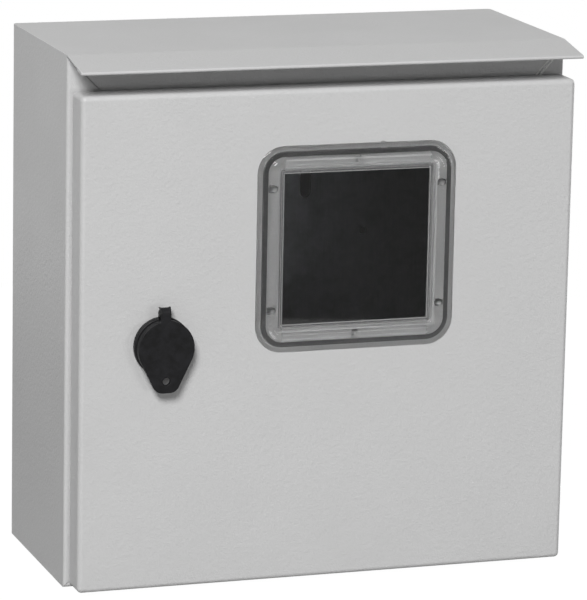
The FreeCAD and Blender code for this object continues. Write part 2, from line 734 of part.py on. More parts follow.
def make_window_lens():
    """A clear moulding: bevelled rim, ridge, bevel down to the pane, and pins through the door."""
    lens = window_layer((0, 0), (0, RIM_EDGE))
    lens = lens.fuse(window_layer((0, RIM_EDGE), (RIM_WIDTH, RIM_HEIGHT)))
    lens = lens.fuse(window_layer((RIDGE_START, RIM_EDGE), (RIDGE_START, RIM_HEIGHT)))
    lens = lens.fuse(window_layer((RIDGE_START, RIM_HEIGHT), (RIDGE_START + RIDGE_SLOPE, RIDGE_HEIGHT)))
    rear = PANE_FACE - PANE_THICKNESS
    lens = lens.fuse(window_layer((PLUG_EDGE, rear), (PLUG_EDGE, PANE_FACE)))
    lens = lens.cut(window_layer((PANE_EDGE, PANE_FACE), (RIDGE_END, RIDGE_HEIGHT)))
    nub_z = WINDOW_Z + WINDOW_SIZE / 2 + GATE_NUB_RISE - GATE_NUB_R
    lens = lens.fuse(rod(GATE_NUB_R, vec(WINDOW_X + GATE_NUB_X, DOOR_FRONT, nub_z), -Y_AXIS, RIM_EDGE))
    seal_end = SEAL_START + SEAL_WIDTH
    groove = window_layer((SEAL_START, -OVERCUT), (SEAL_START, SEAL_HEIGHT))
    groove = groove.cut(window_layer((seal_end, -2 * OVERCUT), (seal_end, SEAL_HEIGHT + OVERCUT)))
    lens = lens.cut(groove)
    for x, z in window_pin_places():
        lens = lens.fuse(rod(WINDOW_PIN_R, vec(x, DOOR_FRONT, z), Y_AXIS, WINDOW_PIN_LENGTH))
        dimple = vec(x, DOOR_FRONT - RIDGE_HEIGHT + DIMPLE_DEPTH, z)
        lens = lens.cut(rod(WINDOW_PIN_R, dimple, -Y_AXIS, DIMPLE_DEPTH + OVERCUT))
    return lens.removeSplitter()


def make_window_gasket():
    end = SEAL_START + SEAL_WIDTH
    outer = window_layer((SEAL_START, 0), (SEAL_START, SEAL_HEIGHT))
    return outer.cut(window_layer((end, -OVERCUT), (end, SEAL_HEIGHT + OVERCUT)))


def make_window_clips():
    """Push-on clips that hold the pins from inside the door."""
    clips = []
    bore = WINDOW_PIN_R + CLIP_CLEARANCE
    for x, z in window_pin_places():
        clips.append(ring(CLIP_R, bore, vec(x, DOOR_INNER, z), Y_AXIS, CLIP_THICKNESS))
    return Part.makeCompound(clips)


# Lock

def on_lock(y):
    return vec(LOCK_X, y, LOCK_Z)


def make_lock_collar():
    """The cap's base ring round the lock's head, with the lug and roll that carry the strap."""
    bore = NECK_R + NECK_CLEARANCE
    seat = HEAD_R + HEAD_CLEARANCE
    profile = [
        (bore, 0), (COLLAR_R, 0), (COLLAR_R, COLLAR_ROUND - COLLAR_HEIGHT),
        (COLLAR_R - COLLAR_ROUND, -COLLAR_HEIGHT), (seat, -COLLAR_HEIGHT), (seat, -COLLAR_FLOOR),
        (bore, -COLLAR_FLOOR),
    ]
    collar = turned(profile, on_lock(DOOR_FRONT), Y_AXIS)
    front = DOOR_FRONT - COLLAR_HEIGHT
    left = LOCK_X - STRAP_WIDTH / 2
    foot = LOCK_Z + COLLAR_R - LUG_BURIED
    lug = block((left, left + STRAP_WIDTH), (front, front + LUG_THICKNESS), (foot, STRAP_Z - LUG_TOP_DROP))
    roll_r = STRAP_ROLL_R - STRAP_THICKNESS - CAP_CLEARANCE
    roll = rod(roll_r, vec(left, STRAP_Y, STRAP_Z), X_AXIS, STRAP_WIDTH)
    return collar.fuse(lug).fuse(roll).removeSplitter()


def make_lock_housing():
    """The lock's flanged body, with a flatted neck through the door and a bore for the barrel."""
    seat = DOOR_FRONT - COLLAR_FLOOR
    rear = CAM_FRONT - CAM_FACE_GAP
    head = rod(HEAD_R, on_lock(HEAD_FRONT), Y_AXIS, seat - HEAD_FRONT)
    rim = [edge for edge in head.Edges if edge.BoundBox.YMax < HEAD_FRONT + TOUCHING]
    head = head.makeFillet(HEAD_ROUND, rim)
    housing = head.fuse(lock_cutter(NECK_R, NECK_FLATS, seat, rear - seat))
    bore = BARREL_R + BARREL_CLEARANCE
    housing = housing.cut(rod(bore, on_lock(HEAD_FRONT - OVERCUT), Y_AXIS, rear - HEAD_FRONT + 2 * OVERCUT))
    pocket = BARREL_RECESS + BARREL_HEAD + BARREL_CLEARANCE + OVERCUT
    return housing.cut(rod(BARREL_HEAD_R + BARREL_CLEARANCE, on_lock(HEAD_FRONT - OVERCUT), Y_AXIS, pocket))


def make_lock_washer():
    return ring(LOCK_WASHER_R, NECK_R + NECK_CLEARANCE, on_lock(DOOR_INNER), Y_AXIS, LOCK_WASHER)


def make_lock_nut():
    start = on_lock(DOOR_INNER + LOCK_WASHER)
    bore = rod(NECK_R + THREAD_CLEARANCE, start - Y_AXIS * OVERCUT, Y_AXIS, LOCK_NUT + 2 * OVERCUT)
    return hexagon(LOCK_NUT_FLATS, start, Y_AXIS, LOCK_NUT).cut(bore)


def lock_square(half, y_range):
    return block((LOCK_X - half, LOCK_X + half), y_range, (LOCK_Z - half, LOCK_Z + half))


def make_lock_barrel():
    """The turning barrel: a head with a two-winged key post in its recess, and a square tail."""
    face = BARREL_FRONT
    barrel = rod(BARREL_HEAD_R, on_lock(face), Y_AXIS, BARREL_HEAD)
    barrel = barrel.fuse(rod(BARREL_R, on_lock(face), Y_AXIS, CAM_FRONT - face))
    barrel = barrel.cut(rod(KEY_RECESS_R, on_lock(face), Y_AXIS, KEY_RECESS_DEPTH))
    across = (LOCK_X - KEY_WING / 2, LOCK_X + KEY_WING / 2)
    levels = (LOCK_Z - KEY_WING_THICKNESS / 2, LOCK_Z + KEY_WING_THICKNESS / 2)
    barrel = barrel.fuse(block(across, (face, face + KEY_RECESS_DEPTH), levels))
    barrel = barrel.fuse(rod(KEY_POST_R, on_lock(face), Y_AXIS, KEY_RECESS_DEPTH))
    barrel = barrel.fuse(lock_square(CAM_SQUARE / 2, (CAM_FRONT, CAM_REAR)))
    screw_end = CAM_REAR - (CAM_SCREW_LENGTH - CAM_WASHER)
    thread = rod(CAM_SCREW_R, on_lock(screw_end), Y_AXIS, CAM_SCREW_LENGTH)
    return barrel.cut(thread).removeSplitter()


def make_lock_cam():
    """A flat cam with a square hole; it hangs down when the door is unlocked."""
    half = CAM_WIDTH / 2
    tip = LOCK_Z - CAM_LENGTH + half
    cam = rod(half, on_lock(CAM_FRONT), Y_AXIS, CAM_THICKNESS)
    cam = cam.fuse(block((LOCK_X - half, LOCK_X + half), (CAM_FRONT, CAM_REAR), (tip, LOCK_Z)))
    cam = cam.fuse(rod(half, vec(LOCK_X, CAM_FRONT, tip), Y_AXIS, CAM_THICKNESS))
    hole = lock_square(CAM_SQUARE / 2 + THREAD_CLEARANCE, (CAM_FRONT - OVERCUT, CAM_REAR + OVERCUT))
    return cam.cut(hole).removeSplitter()


def make_cam_washer():
    return ring(CAM_WASHER_R, CAM_SCREW_R + THREAD_CLEARANCE, on_lock(CAM_REAR), Y_AXIS, CAM_WASHER)


def make_cam_screw():
    seat = on_lock(CAM_REAR + CAM_WASHER)
    head = hexagon(CAM_SCREW_FLATS, seat, Y_AXIS, CAM_SCREW_HEAD)
    return head.fuse(rod(CAM_SCREW_R, seat, -Y_AXIS, CAM_SCREW_LENGTH)).removeSplitter()


# Cap over the lock

def cap_outline():
    """A circle with a tail that narrows to a rounded end, tangent all round."""
    slant = math.radians(CAP_TAIL_ANGLE)
    touch = vec(CAP_R * math.cos(slant), 0, -CAP_R * math.sin(slant))
    run = (CAP_TAIL + touch.z) / math.cos(slant)
    foot = touch + vec(-math.sin(slant), 0, -math.cos(slant)) * run
    trim = CAP_TAIL_ROUND * math.tan((math.pi / 2 - slant) / 2)
    before = foot + vec(math.sin(slant), 0, math.cos(slant)) * trim
    after = foot - X_AXIS * trim
    centre = after + Z_AXIS * CAP_TAIL_ROUND
    middle = centre + (foot - centre).normalize() * CAP_TAIL_ROUND
    left_touch, left_before, left_middle, left_after = [
        vec(-point.x, 0, point.z) for point in (touch, before, middle, after)
    ]
    edges = [
        Part.LineSegment(touch, before).toShape(),
        Part.Arc(before, middle, after).toShape(),
        Part.LineSegment(after, left_after).toShape(),
        Part.Arc(left_after, left_middle, left_before).toShape(),
        Part.LineSegment(left_before, left_touch).toShape(),
        Part.Arc(left_touch, vec(0, 0, CAP_R), touch).toShape(),
    ]
    wire = Part.Wire(Part.sortEdges(edges)[0])
    wire.translate(vec(CAP_X, CAP_FRONT, CAP_Z))
    return wire


def strap_roll():
    """The strap's rolled end: part of a tube, from the front over the top."""
    centre = vec(LOCK_X - STRAP_WIDTH / 2, STRAP_Y, STRAP_Z)
    end = math.radians(STRAP_ROLL_END)
    half_way = (math.pi + end) / 2
    arcs = []
    for radius in (STRAP_ROLL_R, STRAP_ROLL_R - STRAP_THICKNESS):
        arcs.append([
            centre + vec(0, radius * math.cos(angle), radius * math.sin(angle))
            for angle in (math.pi, half_way, end)
        ])
    outer, inner = arcs
    edges = [
        Part.Arc(*outer).toShape(), Part.Arc(*inner).toShape(),
        Part.LineSegment(outer[0], inner[0]).toShape(),
        Part.LineSegment(outer[2], inner[2]).toShape(),
    ]
    return Part.Face(Part.Wire(Part.sortEdges(edges)[0])).extrude(vec(STRAP_WIDTH, 0, 0))


def make_lock_cap():
    """The black cap: a shallow cup with a flat tail, on a strap rolled over the collar's roll."""
    plate = Part.Face(cap_outline()).extrude(vec(0, CAP_PLATE, 0))
    front = [edge for edge in plate.Edges if edge.BoundBox.YMax < CAP_FRONT + TOUCHING]
    plate = plate.makeFillet(CAP_EDGE_ROUND, front)
    behind = CAP_FRONT + CAP_PLATE
    cup = ring(CAP_R, CAP_R - CAP_WALL, vec(CAP_X, behind, CAP_Z), Y_AXIS, CAP_REAR - behind)
    left = LOCK_X - STRAP_WIDTH / 2
    foot = CAP_Z + CAP_R - STRAP_BURIED
    strap = block((left, left + STRAP_WIDTH), (CAP_FRONT, CAP_FRONT + STRAP_THICKNESS), (foot, STRAP_Z))
    before = vec(CAP_X, CAP_FRONT - OVERCUT, CAP_Z - CAP_HOLE_DROP)
    hole = rod(CAP_HOLE_R, before, Y_AXIS, CAP_PLATE + 2 * OVERCUT)
    cap = plate.fuse(cup).fuse(strap).fuse(strap_roll())
    return cap.cut(hole).removeSplitter()


def main():
    body_earth = earth_set(vec(BODY_EARTH_X, -WALL_TO_EARTH, BOTTOM + SHEET), Z_AXIS)
    door_earth = earth_set(vec(DOOR_EARTH_X, DOOR_INNER, DOOR_EARTH_Z), Y_AXIS)
    nodes = {
        "body_wrap": make_body_wrap(),
        "top_plate": make_end_plate(SHELL_TOP, -1, TOP_FLANGE, TOP_RIGHT_MITRE),
        "bottom_plate": make_bottom_plate(),
        "rain_visor": make_rain_visor(),
        "mounting_panel": make_mounting_panel(),
        "panel_studs": make_panel_studs(),
        "panel_washers": make_panel_washers(),
        "panel_nuts": make_panel_nuts(),
        "cable_grommets": make_cable_grommets(),
        "earth_stud": body_earth[0],
        "earth_washer": body_earth[1],
        "earth_nut": body_earth[2],
        "hinge_brackets": make_hinge_brackets(),
        "hinge_pins": make_hinge_pins(),
        "hinge_leaves": make_hinge_leaves(),
        "door_pan": make_door_pan(),
        "door_gasket": make_door_gasket(),
        "door_earth_stud": door_earth[0],
        "door_earth_washer": door_earth[1],
        "door_earth_nut": door_earth[2],
        "window_lens": make_window_lens(),
        "window_gasket": make_window_gasket(),
        "window_clips": make_window_clips(),
        "lock_collar": make_lock_collar(),
        "lock_housing": make_lock_housing(),
        "lock_washer": make_lock_washer(),
        "lock_nut": make_lock_nut(),
        "lock_barrel": make_lock_barrel(),
        "lock_cam": make_lock_cam(),
        "cam_washer": make_cam_washer(),
        "cam_screw": make_cam_screw(),
        "lock_cap": make_lock_cap(),
    }
    os.makedirs("parts", exist_ok=True)
    for name, shape in nodes.items():
        shape.exportStep(f"parts/{name}.step")
        print(f"{name}: {len(shape.Solids)} solids, valid {shape.isValid()}, {shape.Volume:.1f} mm3")


main()
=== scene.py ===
"""The looks of an outdoor electricity meter box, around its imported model, in metres."""
import json
import math

import bmesh
import bpy
from mathutils import Matrix, Vector


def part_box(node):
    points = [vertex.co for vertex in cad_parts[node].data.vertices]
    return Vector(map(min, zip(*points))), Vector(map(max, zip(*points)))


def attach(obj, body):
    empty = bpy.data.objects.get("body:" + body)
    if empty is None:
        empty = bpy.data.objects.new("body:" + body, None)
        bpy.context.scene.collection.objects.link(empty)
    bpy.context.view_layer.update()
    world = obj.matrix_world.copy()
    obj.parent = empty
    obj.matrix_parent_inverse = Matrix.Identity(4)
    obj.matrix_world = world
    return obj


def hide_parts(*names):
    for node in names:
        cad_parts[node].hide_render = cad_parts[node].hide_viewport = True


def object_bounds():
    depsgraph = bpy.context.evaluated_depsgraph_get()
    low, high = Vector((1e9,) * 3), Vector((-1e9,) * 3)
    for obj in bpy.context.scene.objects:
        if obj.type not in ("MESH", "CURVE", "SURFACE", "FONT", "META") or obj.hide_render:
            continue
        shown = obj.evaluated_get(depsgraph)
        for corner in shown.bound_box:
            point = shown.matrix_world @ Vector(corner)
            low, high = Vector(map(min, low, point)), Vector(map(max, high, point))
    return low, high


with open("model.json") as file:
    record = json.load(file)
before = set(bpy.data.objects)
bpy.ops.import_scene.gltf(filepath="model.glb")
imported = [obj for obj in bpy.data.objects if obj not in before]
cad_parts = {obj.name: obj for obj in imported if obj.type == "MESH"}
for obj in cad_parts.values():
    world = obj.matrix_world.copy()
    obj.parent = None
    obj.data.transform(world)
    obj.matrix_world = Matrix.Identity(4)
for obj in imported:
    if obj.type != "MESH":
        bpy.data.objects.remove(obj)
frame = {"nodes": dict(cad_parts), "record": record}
CAD_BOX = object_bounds()
MM = 0.001
# A radius below this, in mm, is a point on the axis
TOUCHING = 1e-6
# Corners of triangles nearer to each other than this are one corner
MERGE_DISTANCE = 0.001 * MM
# Solids are put in order by their places in metres, rounded to so many digits
PLACE_DIGITS = 5
FORWARD = Vector((0, -1, 0))
INWARD = Vector((0, 1, 0))
UP = Vector((0, 0, 1))

# The photograph's view
CAMERA_PLACE = (-0.74007, -2.25548, 0.51108)
CAMERA_TARGET = (0.006794, -0.060, -0.006574)
CAMERA_ROLL = 0.020073
CAMERA_LENS = 240.13
CAMERA_SENSOR = 36.0
CAMERA_NEAR = 0.05
CAMERA_FAR = 50.0

# Cabinet's front lip, in mm
LIP_DEPTH = 12.0

# Studio
WHITE = "#FFFFFF"
WORLD_FRONT = 0.11
WORLD_BACK = 0.20
GLOSS_FRONT = 0.06
GLOSS_BACK = 0.8
BACK_START = -0.35
BACK_FULL = 0.45
STRAIGHT_DEPTH = 0.5
FLOOR_DROP = 0.3 * MM
FLOOR_RADIUS = 0.75
FLOOR_SIDES = 96
FLOOR_GREY = "#B2B2B2"
FLOOR_SHADOW = 0.10
FLOOR_LEVEL = 1.10
KEY_PLACE = (-1.37, -2.64, 2.04)
KEY_SIZE = 1.2
KEY_POWER = 121.0
FILL_PLACE = (1.55, -2.60, -0.05)
FILL_SIZE = 0.8
FILL_POWER = 8.0
REAR_PLACE = (2.80, 1.30, 0.30)
REAR_SIZE = 1.0
REAR_POWER = 34.0

# Refractive index of the window's plastic
POLYCARBONATE_IOR = 1.585

# Clear window: its section as insets from its outer edge and heights over the door, in mm
WINDOW_CORNER = 16.0
WINDOW_INNER_CORNER = 1.2
WINDOW_CORNER_STEPS = 14
WINDOW_GAP = 0.06
WINDOW_PANE_BACK = (14.2, -1.4)
WINDOW_STEP = 14.2
WINDOW_SEAL = (3.3, 6.0, 1.05)
WINDOW_FRONT = [
    (0.0, 0.6), (3.05, 2.05), (6.2, 2.05), (6.9, 3.2), (8.3, 3.7), (10.2, 3.7), (12.4, 3.0), (15.9, 0.6),
]
WINDOW_RIDGE = 3.7
WINDOW_EASE = 0.4
# How satin the window is, by the inset from its outer edge in mm. The three peaks are pale lines painted at
# the step's edges: painted highlights standing in for reflections of those edges, over a faint satin haze
# between them
SATIN_AND_PAINTED_LINES_START = 11.8
SATIN_AND_PAINTED_LINES_END = 16.8
SATIN_AND_PAINTED_LINE_STEPS = [
    (11.8, 0.0), (12.15, 0.03), (12.4, 0.45), (12.7, 0.10), (13.9, 0.10), (14.15, 0.45), (14.4, 0.10),
    (15.5, 0.10), (15.8, 0.45), (16.1, 0.0),
]
# Pins of the window, the dimples over them and the gate nub, in mm
WINDOW_PIN_SATIN_R = 1.75
WINDOW_PIN_SATIN_START = 0.01
WINDOW_PIN_R = 1.9
WINDOW_PIN_END = 2.7
WINDOW_PIN_ROOT = 1.0
WINDOW_PIN_CHAMFER = 0.4
WINDOW_PIN_OVERLAP = 0.02
WINDOW_DIMPLE_R = 1.7
WINDOW_DIMPLE_END_R = 0.3
WINDOW_DIMPLE_DEPTH = 0.7
WINDOW_DIMPLE_OVERCUT = 0.2
WINDOW_NUB_R = 2.5
WINDOW_NUB_X = 15.5
WINDOW_NUB_RISE = 0.8
WINDOW_NUB_HEIGHT = 0.6

# Foam seal of the door, in mm
FOAM_CORNER = 9.0
FOAM_CORNER_STEPS = 10
FOAM_WIDTH = 10.0
FOAM_CROWN_STEPS = 14
FOAM_CROWN_POWER = 0.5
FOAM_LEAST_CORNER = 0.5

# M6 fasteners, in mm
M6_FLATS = 10.0
M6_RADIUS = 3.0
M6_PITCH = 1.0
M6_DEPTH = 0.55
NUT_CHAMFER = 0.96
NUT_CHAMFER_SLOPE = 0.45
HEXAGON_SIDES = 6
ROUND_SIDES = 40
THREAD_STEPS = 20
THREAD_SECTION_SIDES = 4
PANEL_SHEET = 1.5
EARTH_FOOT_R = 5.0
EARTH_FOOT_HEIGHT = 1.0
EARTH_FOOT_SIDES = 36.0
# A drill's length, in thicknesses of what it goes through
DRILL_REACH = 4.0

# Push-on clips of the window's pins, in mm
CLIP_RADIUS = 4.5
CLIP_HOLE = 2.9
CLIP_SHEET = 0.35
CLIP_TEETH = 6
CLIP_TOOTH = (1.35, 1.1, 0.3)
CLIP_TOOTH_TILT = 24.0
CLIP_TOOTH_REACH = 2.55

# Soft edges of moulded pieces, in mm
MOULD_VOXEL = 0.28
MOULD_RELAX = 0.5
MOULD_ROUNDS = 5
STRAP_HALF = 3.1
FLARE_START = 3.2
FLARE_WIDTH = 0.16
FLARE_RISE = 0.7
FLARE_DIP = 0.5

# Rubber grommet, as radii from its middle and heights over the bottom plate's outside, in mm
GROMMET_LIP = 1.5
GROMMET_EASE = 0.35
GROMMET_SIDES = 72
GROMMET_PROFILE = [
    (0, 8), (5, 8), (10.5, 2), (11.5, 1), (11.5, -1.5), (17, -1.5), (17, 0), (14, 0), (14, 1), (17, 1),
    (15, 3), (11.5, 3), (11, 5), (9, 5), (8.6, 7), (7, 7), (6.5, 9), (0, 9),
]

# Sealer on the right mitre of the cabinet's front: its line, and its section across it, in mm. Its pale
# colour is a painted highlight, standing in for the glints along the mitre's edges
BEAD_START = (131.0, 132.0)
BEAD_END = (143.0, 145.9)
BEAD_TAPER = 0.8
BEAD_SECTION = [(-0.5, -0.05), (-0.35, 0.32), (0.0, 0.5), (0.35, 0.32), (0.5, -0.05)]
BEAD_SHIFTS = (0.0, 1.94)
BEAD_END_RISE = 0.1

# Edges softened by paint, plating or tumbling, in mm
SHEET_EASE = 0.28
METAL_EASE = 0.2
EASE_SEGMENTS = 2
# A rounded corner takes at most this share of each side beside it
CORNER_SHARE = 0.45

# Faces that meet at less than the flat angle are one face, and edges over the others are sharp,
# in degrees
FLAT_ANGLE = 0.3
EASE_ANGLE = 35
WINDOW_SHARP = 60
FOAM_SHARP = 60
GROMMET_SHARP = 40
BEAD_SHARP = 70
NUT_SHARP = 20
STUD_SHARP = 40
CLIP_SHARP = 35

# Sheet and metal pieces on each body
SHEET_PIECES = {
    "cabinet": ["body_wrap", "top_plate", "bottom_plate", "rain_visor"],
    "door": ["door_pan"],
}
METAL_PIECES = {
    "cabinet": ["mounting_panel", "panel_washers", "earth_washer", "hinge_brackets", "hinge_pins"],
    "door": ["hinge_leaves", "door_earth_washer", "lock_housing", "lock_washer", "lock_nut", "window_gasket"],
    "latch": ["lock_barrel", "lock_cam", "cam_washer", "cam_screw"],
}


# Small helpers

def linear(colour):
    """An sRGB hex colour as linear red, green and blue, with an alpha of 1."""
    channels = [int(colour[place:place + 2], 16) / 255 for place in (1, 3, 5)]
    bent = [c / 12.92 if c <= 0.04045 else ((c + 0.055) / 1.055) ** 2.4 for c in channels]
    return (*bent, 1.0)


def add(tree, kind, inputs=(), **settings):
    """Adds a node. Inputs pairs a socket's name or number with a value or another node's output."""
    made = tree.nodes.new(kind)
    for name, value in settings.items():
        setattr(made, name, value)
    for socket, value in dict(inputs).items():
        if isinstance(value, bpy.types.NodeSocket):
            tree.links.new(value, made.inputs[socket])
        else:
            made.inputs[socket].default_value = value
    return made


def link_object(name, data):
    made = bpy.data.objects.new(name, data)
    bpy.context.scene.collection.objects.link(made)
    return made


def plain_mesh(holder):
    """The finished mesh of an object, with its modifiers applied."""
    bpy.context.view_layer.update()
    graph = bpy.context.evaluated_depsgraph_get()
    return bpy.data.meshes.new_from_object(holder.evaluated_get(graph))


def as_piece(name, mesh, material, body, slot, *nodes):
    """A finished piece that rides on a body and stands for CAD nodes."""
    mesh.name = name
    mesh.materials.clear()
    mesh.materials.append(material)
    piece = link_object(name, mesh)
    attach(piece, body)
    if nodes:
        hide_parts(*nodes)
    return piece


def shaded(shape, sharp_angle):
    """A mesh from a bmesh, smooth but for edges sharper than the angle."""
    mesh = bpy.data.meshes.new("shape")
    shape.to_mesh(mesh)
    shape.free()
    mesh.shade_smooth()
    mesh.set_sharp_from_angle(angle=math.radians(sharp_angle))
    return mesh


def merged_copy(node):
    """A copy of a CAD node's mesh with the corners of its triangles merged."""
    shape = bmesh.new()
    shape.from_mesh(frame["nodes"][node].data)
    bmesh.ops.remove_doubles(shape, verts=shape.verts, dist=MERGE_DISTANCE)
    return shape


def solid_boxes(node):
    """The lowest and highest corner of each separate solid of a CAD node."""
    shape = merged_copy(node)
    waiting = set(shape.verts)
    boxes = []
    while waiting:
        front = [waiting.pop()]
        places = []
        while front:
            vert = front.pop()
            places.append(vert.co.copy())
            for edge in vert.link_edges:
                other = edge.other_vert(vert)
                if other in waiting:
                    waiting.remove(other)
                    front.append(other)
        low = Vector([min(place[axis] for place in places) for axis in range(3)])
        high = Vector([max(place[axis] for place in places) for axis in range(3)])
        boxes.append((low, high))
    shape.free()
    return sorted(boxes, key=lambda box: (round(box[0].x, PLACE_DIGITS), round(box[0].z, PLACE_DIGITS)))


def middle_of(box):
    return (box[0] + box[1]) / 2


# Camera, lamps, floor and world

def make_camera():
    data = bpy.data.cameras.new("photo_camera")
    data.lens = CAMERA_LENS
    data.sensor_width = CAMERA_SENSOR
    data.sensor_fit = "AUTO"
    data.clip_start = CAMERA_NEAR
    data.clip_end = CAMERA_FAR
    camera = link_object("photo_camera", data)
    aim = (Vector(CAMERA_TARGET) - Vector(CAMERA_PLACE)).to_track_quat("-Z", "Y")
    turn = aim.to_matrix().to_4x4() @ Matrix.Rotation(CAMERA_ROLL, 4, "Z")
    camera.matrix_world = Matrix.Translation(CAMERA_PLACE) @ turn
    bpy.context.scene.camera = camera


def make_lamp(name, place, size, power):
    """A round softbox that faces the box."""
    data = bpy.data.lights.new(name, "AREA")
    data.shape = "DISK"
    data.size = size
    data.energy = power
    lamp = link_object(name, data)
    lamp.location = place
    lamp.rotation_mode = "QUATERNION"
    lamp.rotation_quaternion = (middle_of(CAD_BOX) - Vector(place)).to_track_quat("-Z", "Y")


def straight_view(tree):
    """1 for what the camera sees directly or straight through clear plastic, else 0."""
    seen = add(tree, "ShaderNodeLightPath")
    scattered = add(tree, "ShaderNodeMath", {
        0: seen.outputs["Diffuse Depth"], 1: seen.outputs["Glossy Depth"],
    }, operation="ADD")
    straight = add(tree, "ShaderNodeMath", {
        0: scattered.outputs[0], 1: STRAIGHT_DEPTH,
    }, operation="LESS_THAN")
    through = add(tree, "ShaderNodeMath", {
        0: seen.outputs["Is Transmission Ray"], 1: straight.outputs[0],
    }, operation="MULTIPLY")
    return add(tree, "ShaderNodeMath", {
        0: seen.outputs["Is Camera Ray"], 1: through.outputs[0],
    }, operation="MAXIMUM")


def make_floor():
    """A plain white floor just under the box, with a soft shadow kept on it."""
    level = CAD_BOX[0].z - FLOOR_DROP
    centre = middle_of(CAD_BOX)
    rim = []
    for side in range(FLOOR_SIDES):
        angle = math.tau * side / FLOOR_SIDES
        reach = Vector((math.cos(angle), math.sin(angle))) * FLOOR_RADIUS
        rim.append((centre.x + reach.x, centre.y + reach.y, level))
    mesh = bpy.data.meshes.new("floor")
    mesh.from_pydata(rim, [], [list(range(FLOOR_SIDES))])
    floor = link_object("floor", mesh)
    material, tree = new_material("white_paper")
    paper = add(tree, "ShaderNodeBsdfDiffuse", {"Color": linear(FLOOR_GREY)})
    lit = add(tree, "ShaderNodeEmission", {"Color": linear(WHITE), "Strength": FLOOR_LEVEL})
    shown = straight_view(tree)
    share = add(tree, "ShaderNodeMath", {0: shown.outputs[0], 1: 1.0 - FLOOR_SHADOW}, operation="MULTIPLY")
    mix = add(tree, "ShaderNodeMixShader", {0: share.outputs[0], 1: paper.outputs[0], 2: lit.outputs[0]})
    finish_material(tree, mix)
    mesh.materials.append(material)


def make_world():
    """A white backdrop behind the box and a darker room in front, as a light and in the gloss."""
    world = bpy.data.worlds.new("studio")
    bpy.context.scene.world = world
    world.use_nodes = True
    tree = world.node_tree
    tree.nodes.clear()
    seen = add(tree, "ShaderNodeLightPath")
    direction = add(tree, "ShaderNodeTexCoord")
    parts = add(tree, "ShaderNodeSeparateXYZ", {0: direction.outputs["Generated"]})
    levels = []
    for front, back in ((WORLD_FRONT, WORLD_BACK), (GLOSS_FRONT, GLOSS_BACK)):
        levels.append(add(tree, "ShaderNodeMapRange", {
            "Value": parts.outputs["Y"], "From Min": BACK_START, "From Max": BACK_FULL,
            "To Min": front, "To Max": back,
        }, interpolation_type="SMOOTHSTEP").outputs[0])
    gloss = add(tree, "ShaderNodeMath", {
        0: seen.outputs["Is Glossy Ray"], 1: levels[1],
    }, operation="MULTIPLY")
    share = add(tree, "ShaderNodeMath", {
        0: straight_view(tree).outputs[0], 1: gloss.outputs[0],
    }, operation="MAXIMUM")
    light = add(tree, "ShaderNodeBackground", {"Color": linear(WHITE), "Strength": levels[0]})
    backdrop = add(tree, "ShaderNodeBackground", {"Color": linear(WHITE), "Strength": 1.0})
    both = add(tree, "ShaderNodeMixShader", {
        0: share.outputs[0], 1: light.outputs[0], 2: backdrop.outputs[0],
    })
    add(tree, "ShaderNodeOutputWorld", {"Surface": both.outputs[0]})


# Materials

def new_material(name):
    material = bpy.data.materials.new(name)
    material.use_nodes = True
    material.node_tree.nodes.clear()
    return material, material.node_tree


def finish_material(tree, shader):
    add(tree, "ShaderNodeOutputMaterial", {"Surface": shader.outputs[0]})


def grain(tree, place, size_mm, detail=3.0, roughness=0.55, stretch=(1, 1, 1)):
    """Noise whose grains are so many millimetres across, stretched along an axis if asked."""
    mapped = add(tree, "ShaderNodeMapping", {"Vector": place.outputs["Object"], "Scale": stretch})
    return add(tree, "ShaderNodeTexNoise", {
        "Vector": mapped.outputs[0], "Scale": 1 / (size_mm * MM), "Detail": detail, "Roughness": roughness,
    })


def between(tree, source, low, high, start=0.35, end=0.65):
    """Maps the useful middle of a noise to a range."""
    return add(tree, "ShaderNodeMapRange", {
        "Value": source, "From Min": start, "From Max": end, "To Min": low, "To Max": high,
    })


def tint(tree, source, dark, pale):
    """Runs from one colour to another with a noise."""
    return add(tree, "ShaderNodeMix", {
        "Factor": source, "A": linear(dark), "B": linear(pale),
    }, data_type="RGBA")


def powder_coat():
    """Light grey polyester powder coat baked on steel: satin, with a fine orange peel.

    Real peel is about 1 mm across and 0.02 mm high. It is drawn wider and higher, so that it still
    shows as the faint grain that a low light brings out on the sides.
    """
    material, tree = new_material("light_grey_powder_coat")
    place = add(tree, "ShaderNodeTexCoord")
    peel = grain(tree, place, 2.2, detail=2.0, roughness=0.6)
    speck = grain(tree, place, 0.9, detail=1.0)
    cloud = grain(tree, place, 45.0, detail=2.0)
    height = add(tree, "ShaderNodeMath", {
        0: speck.outputs[0], 1: 0.35, 2: peel.outputs[0],
    }, operation="MULTIPLY_ADD")
    bump = add(tree, "ShaderNodeBump", {"Strength": 1.0, "Distance": 0.25 * MM, "Height": height.outputs[0]})
    rough = between(tree, cloud.outputs[0], 0.40, 0.47)
    colour = tint(tree, cloud.outputs[0], "#C3C3C3", "#C7C7C7")
    finish_material(tree, add(tree, "ShaderNodeBsdfPrincipled", {
        "Base Color": colour.outputs["Result"], "Roughness": rough.outputs[0], "Normal": bump.outputs[0],
    }))
    return material


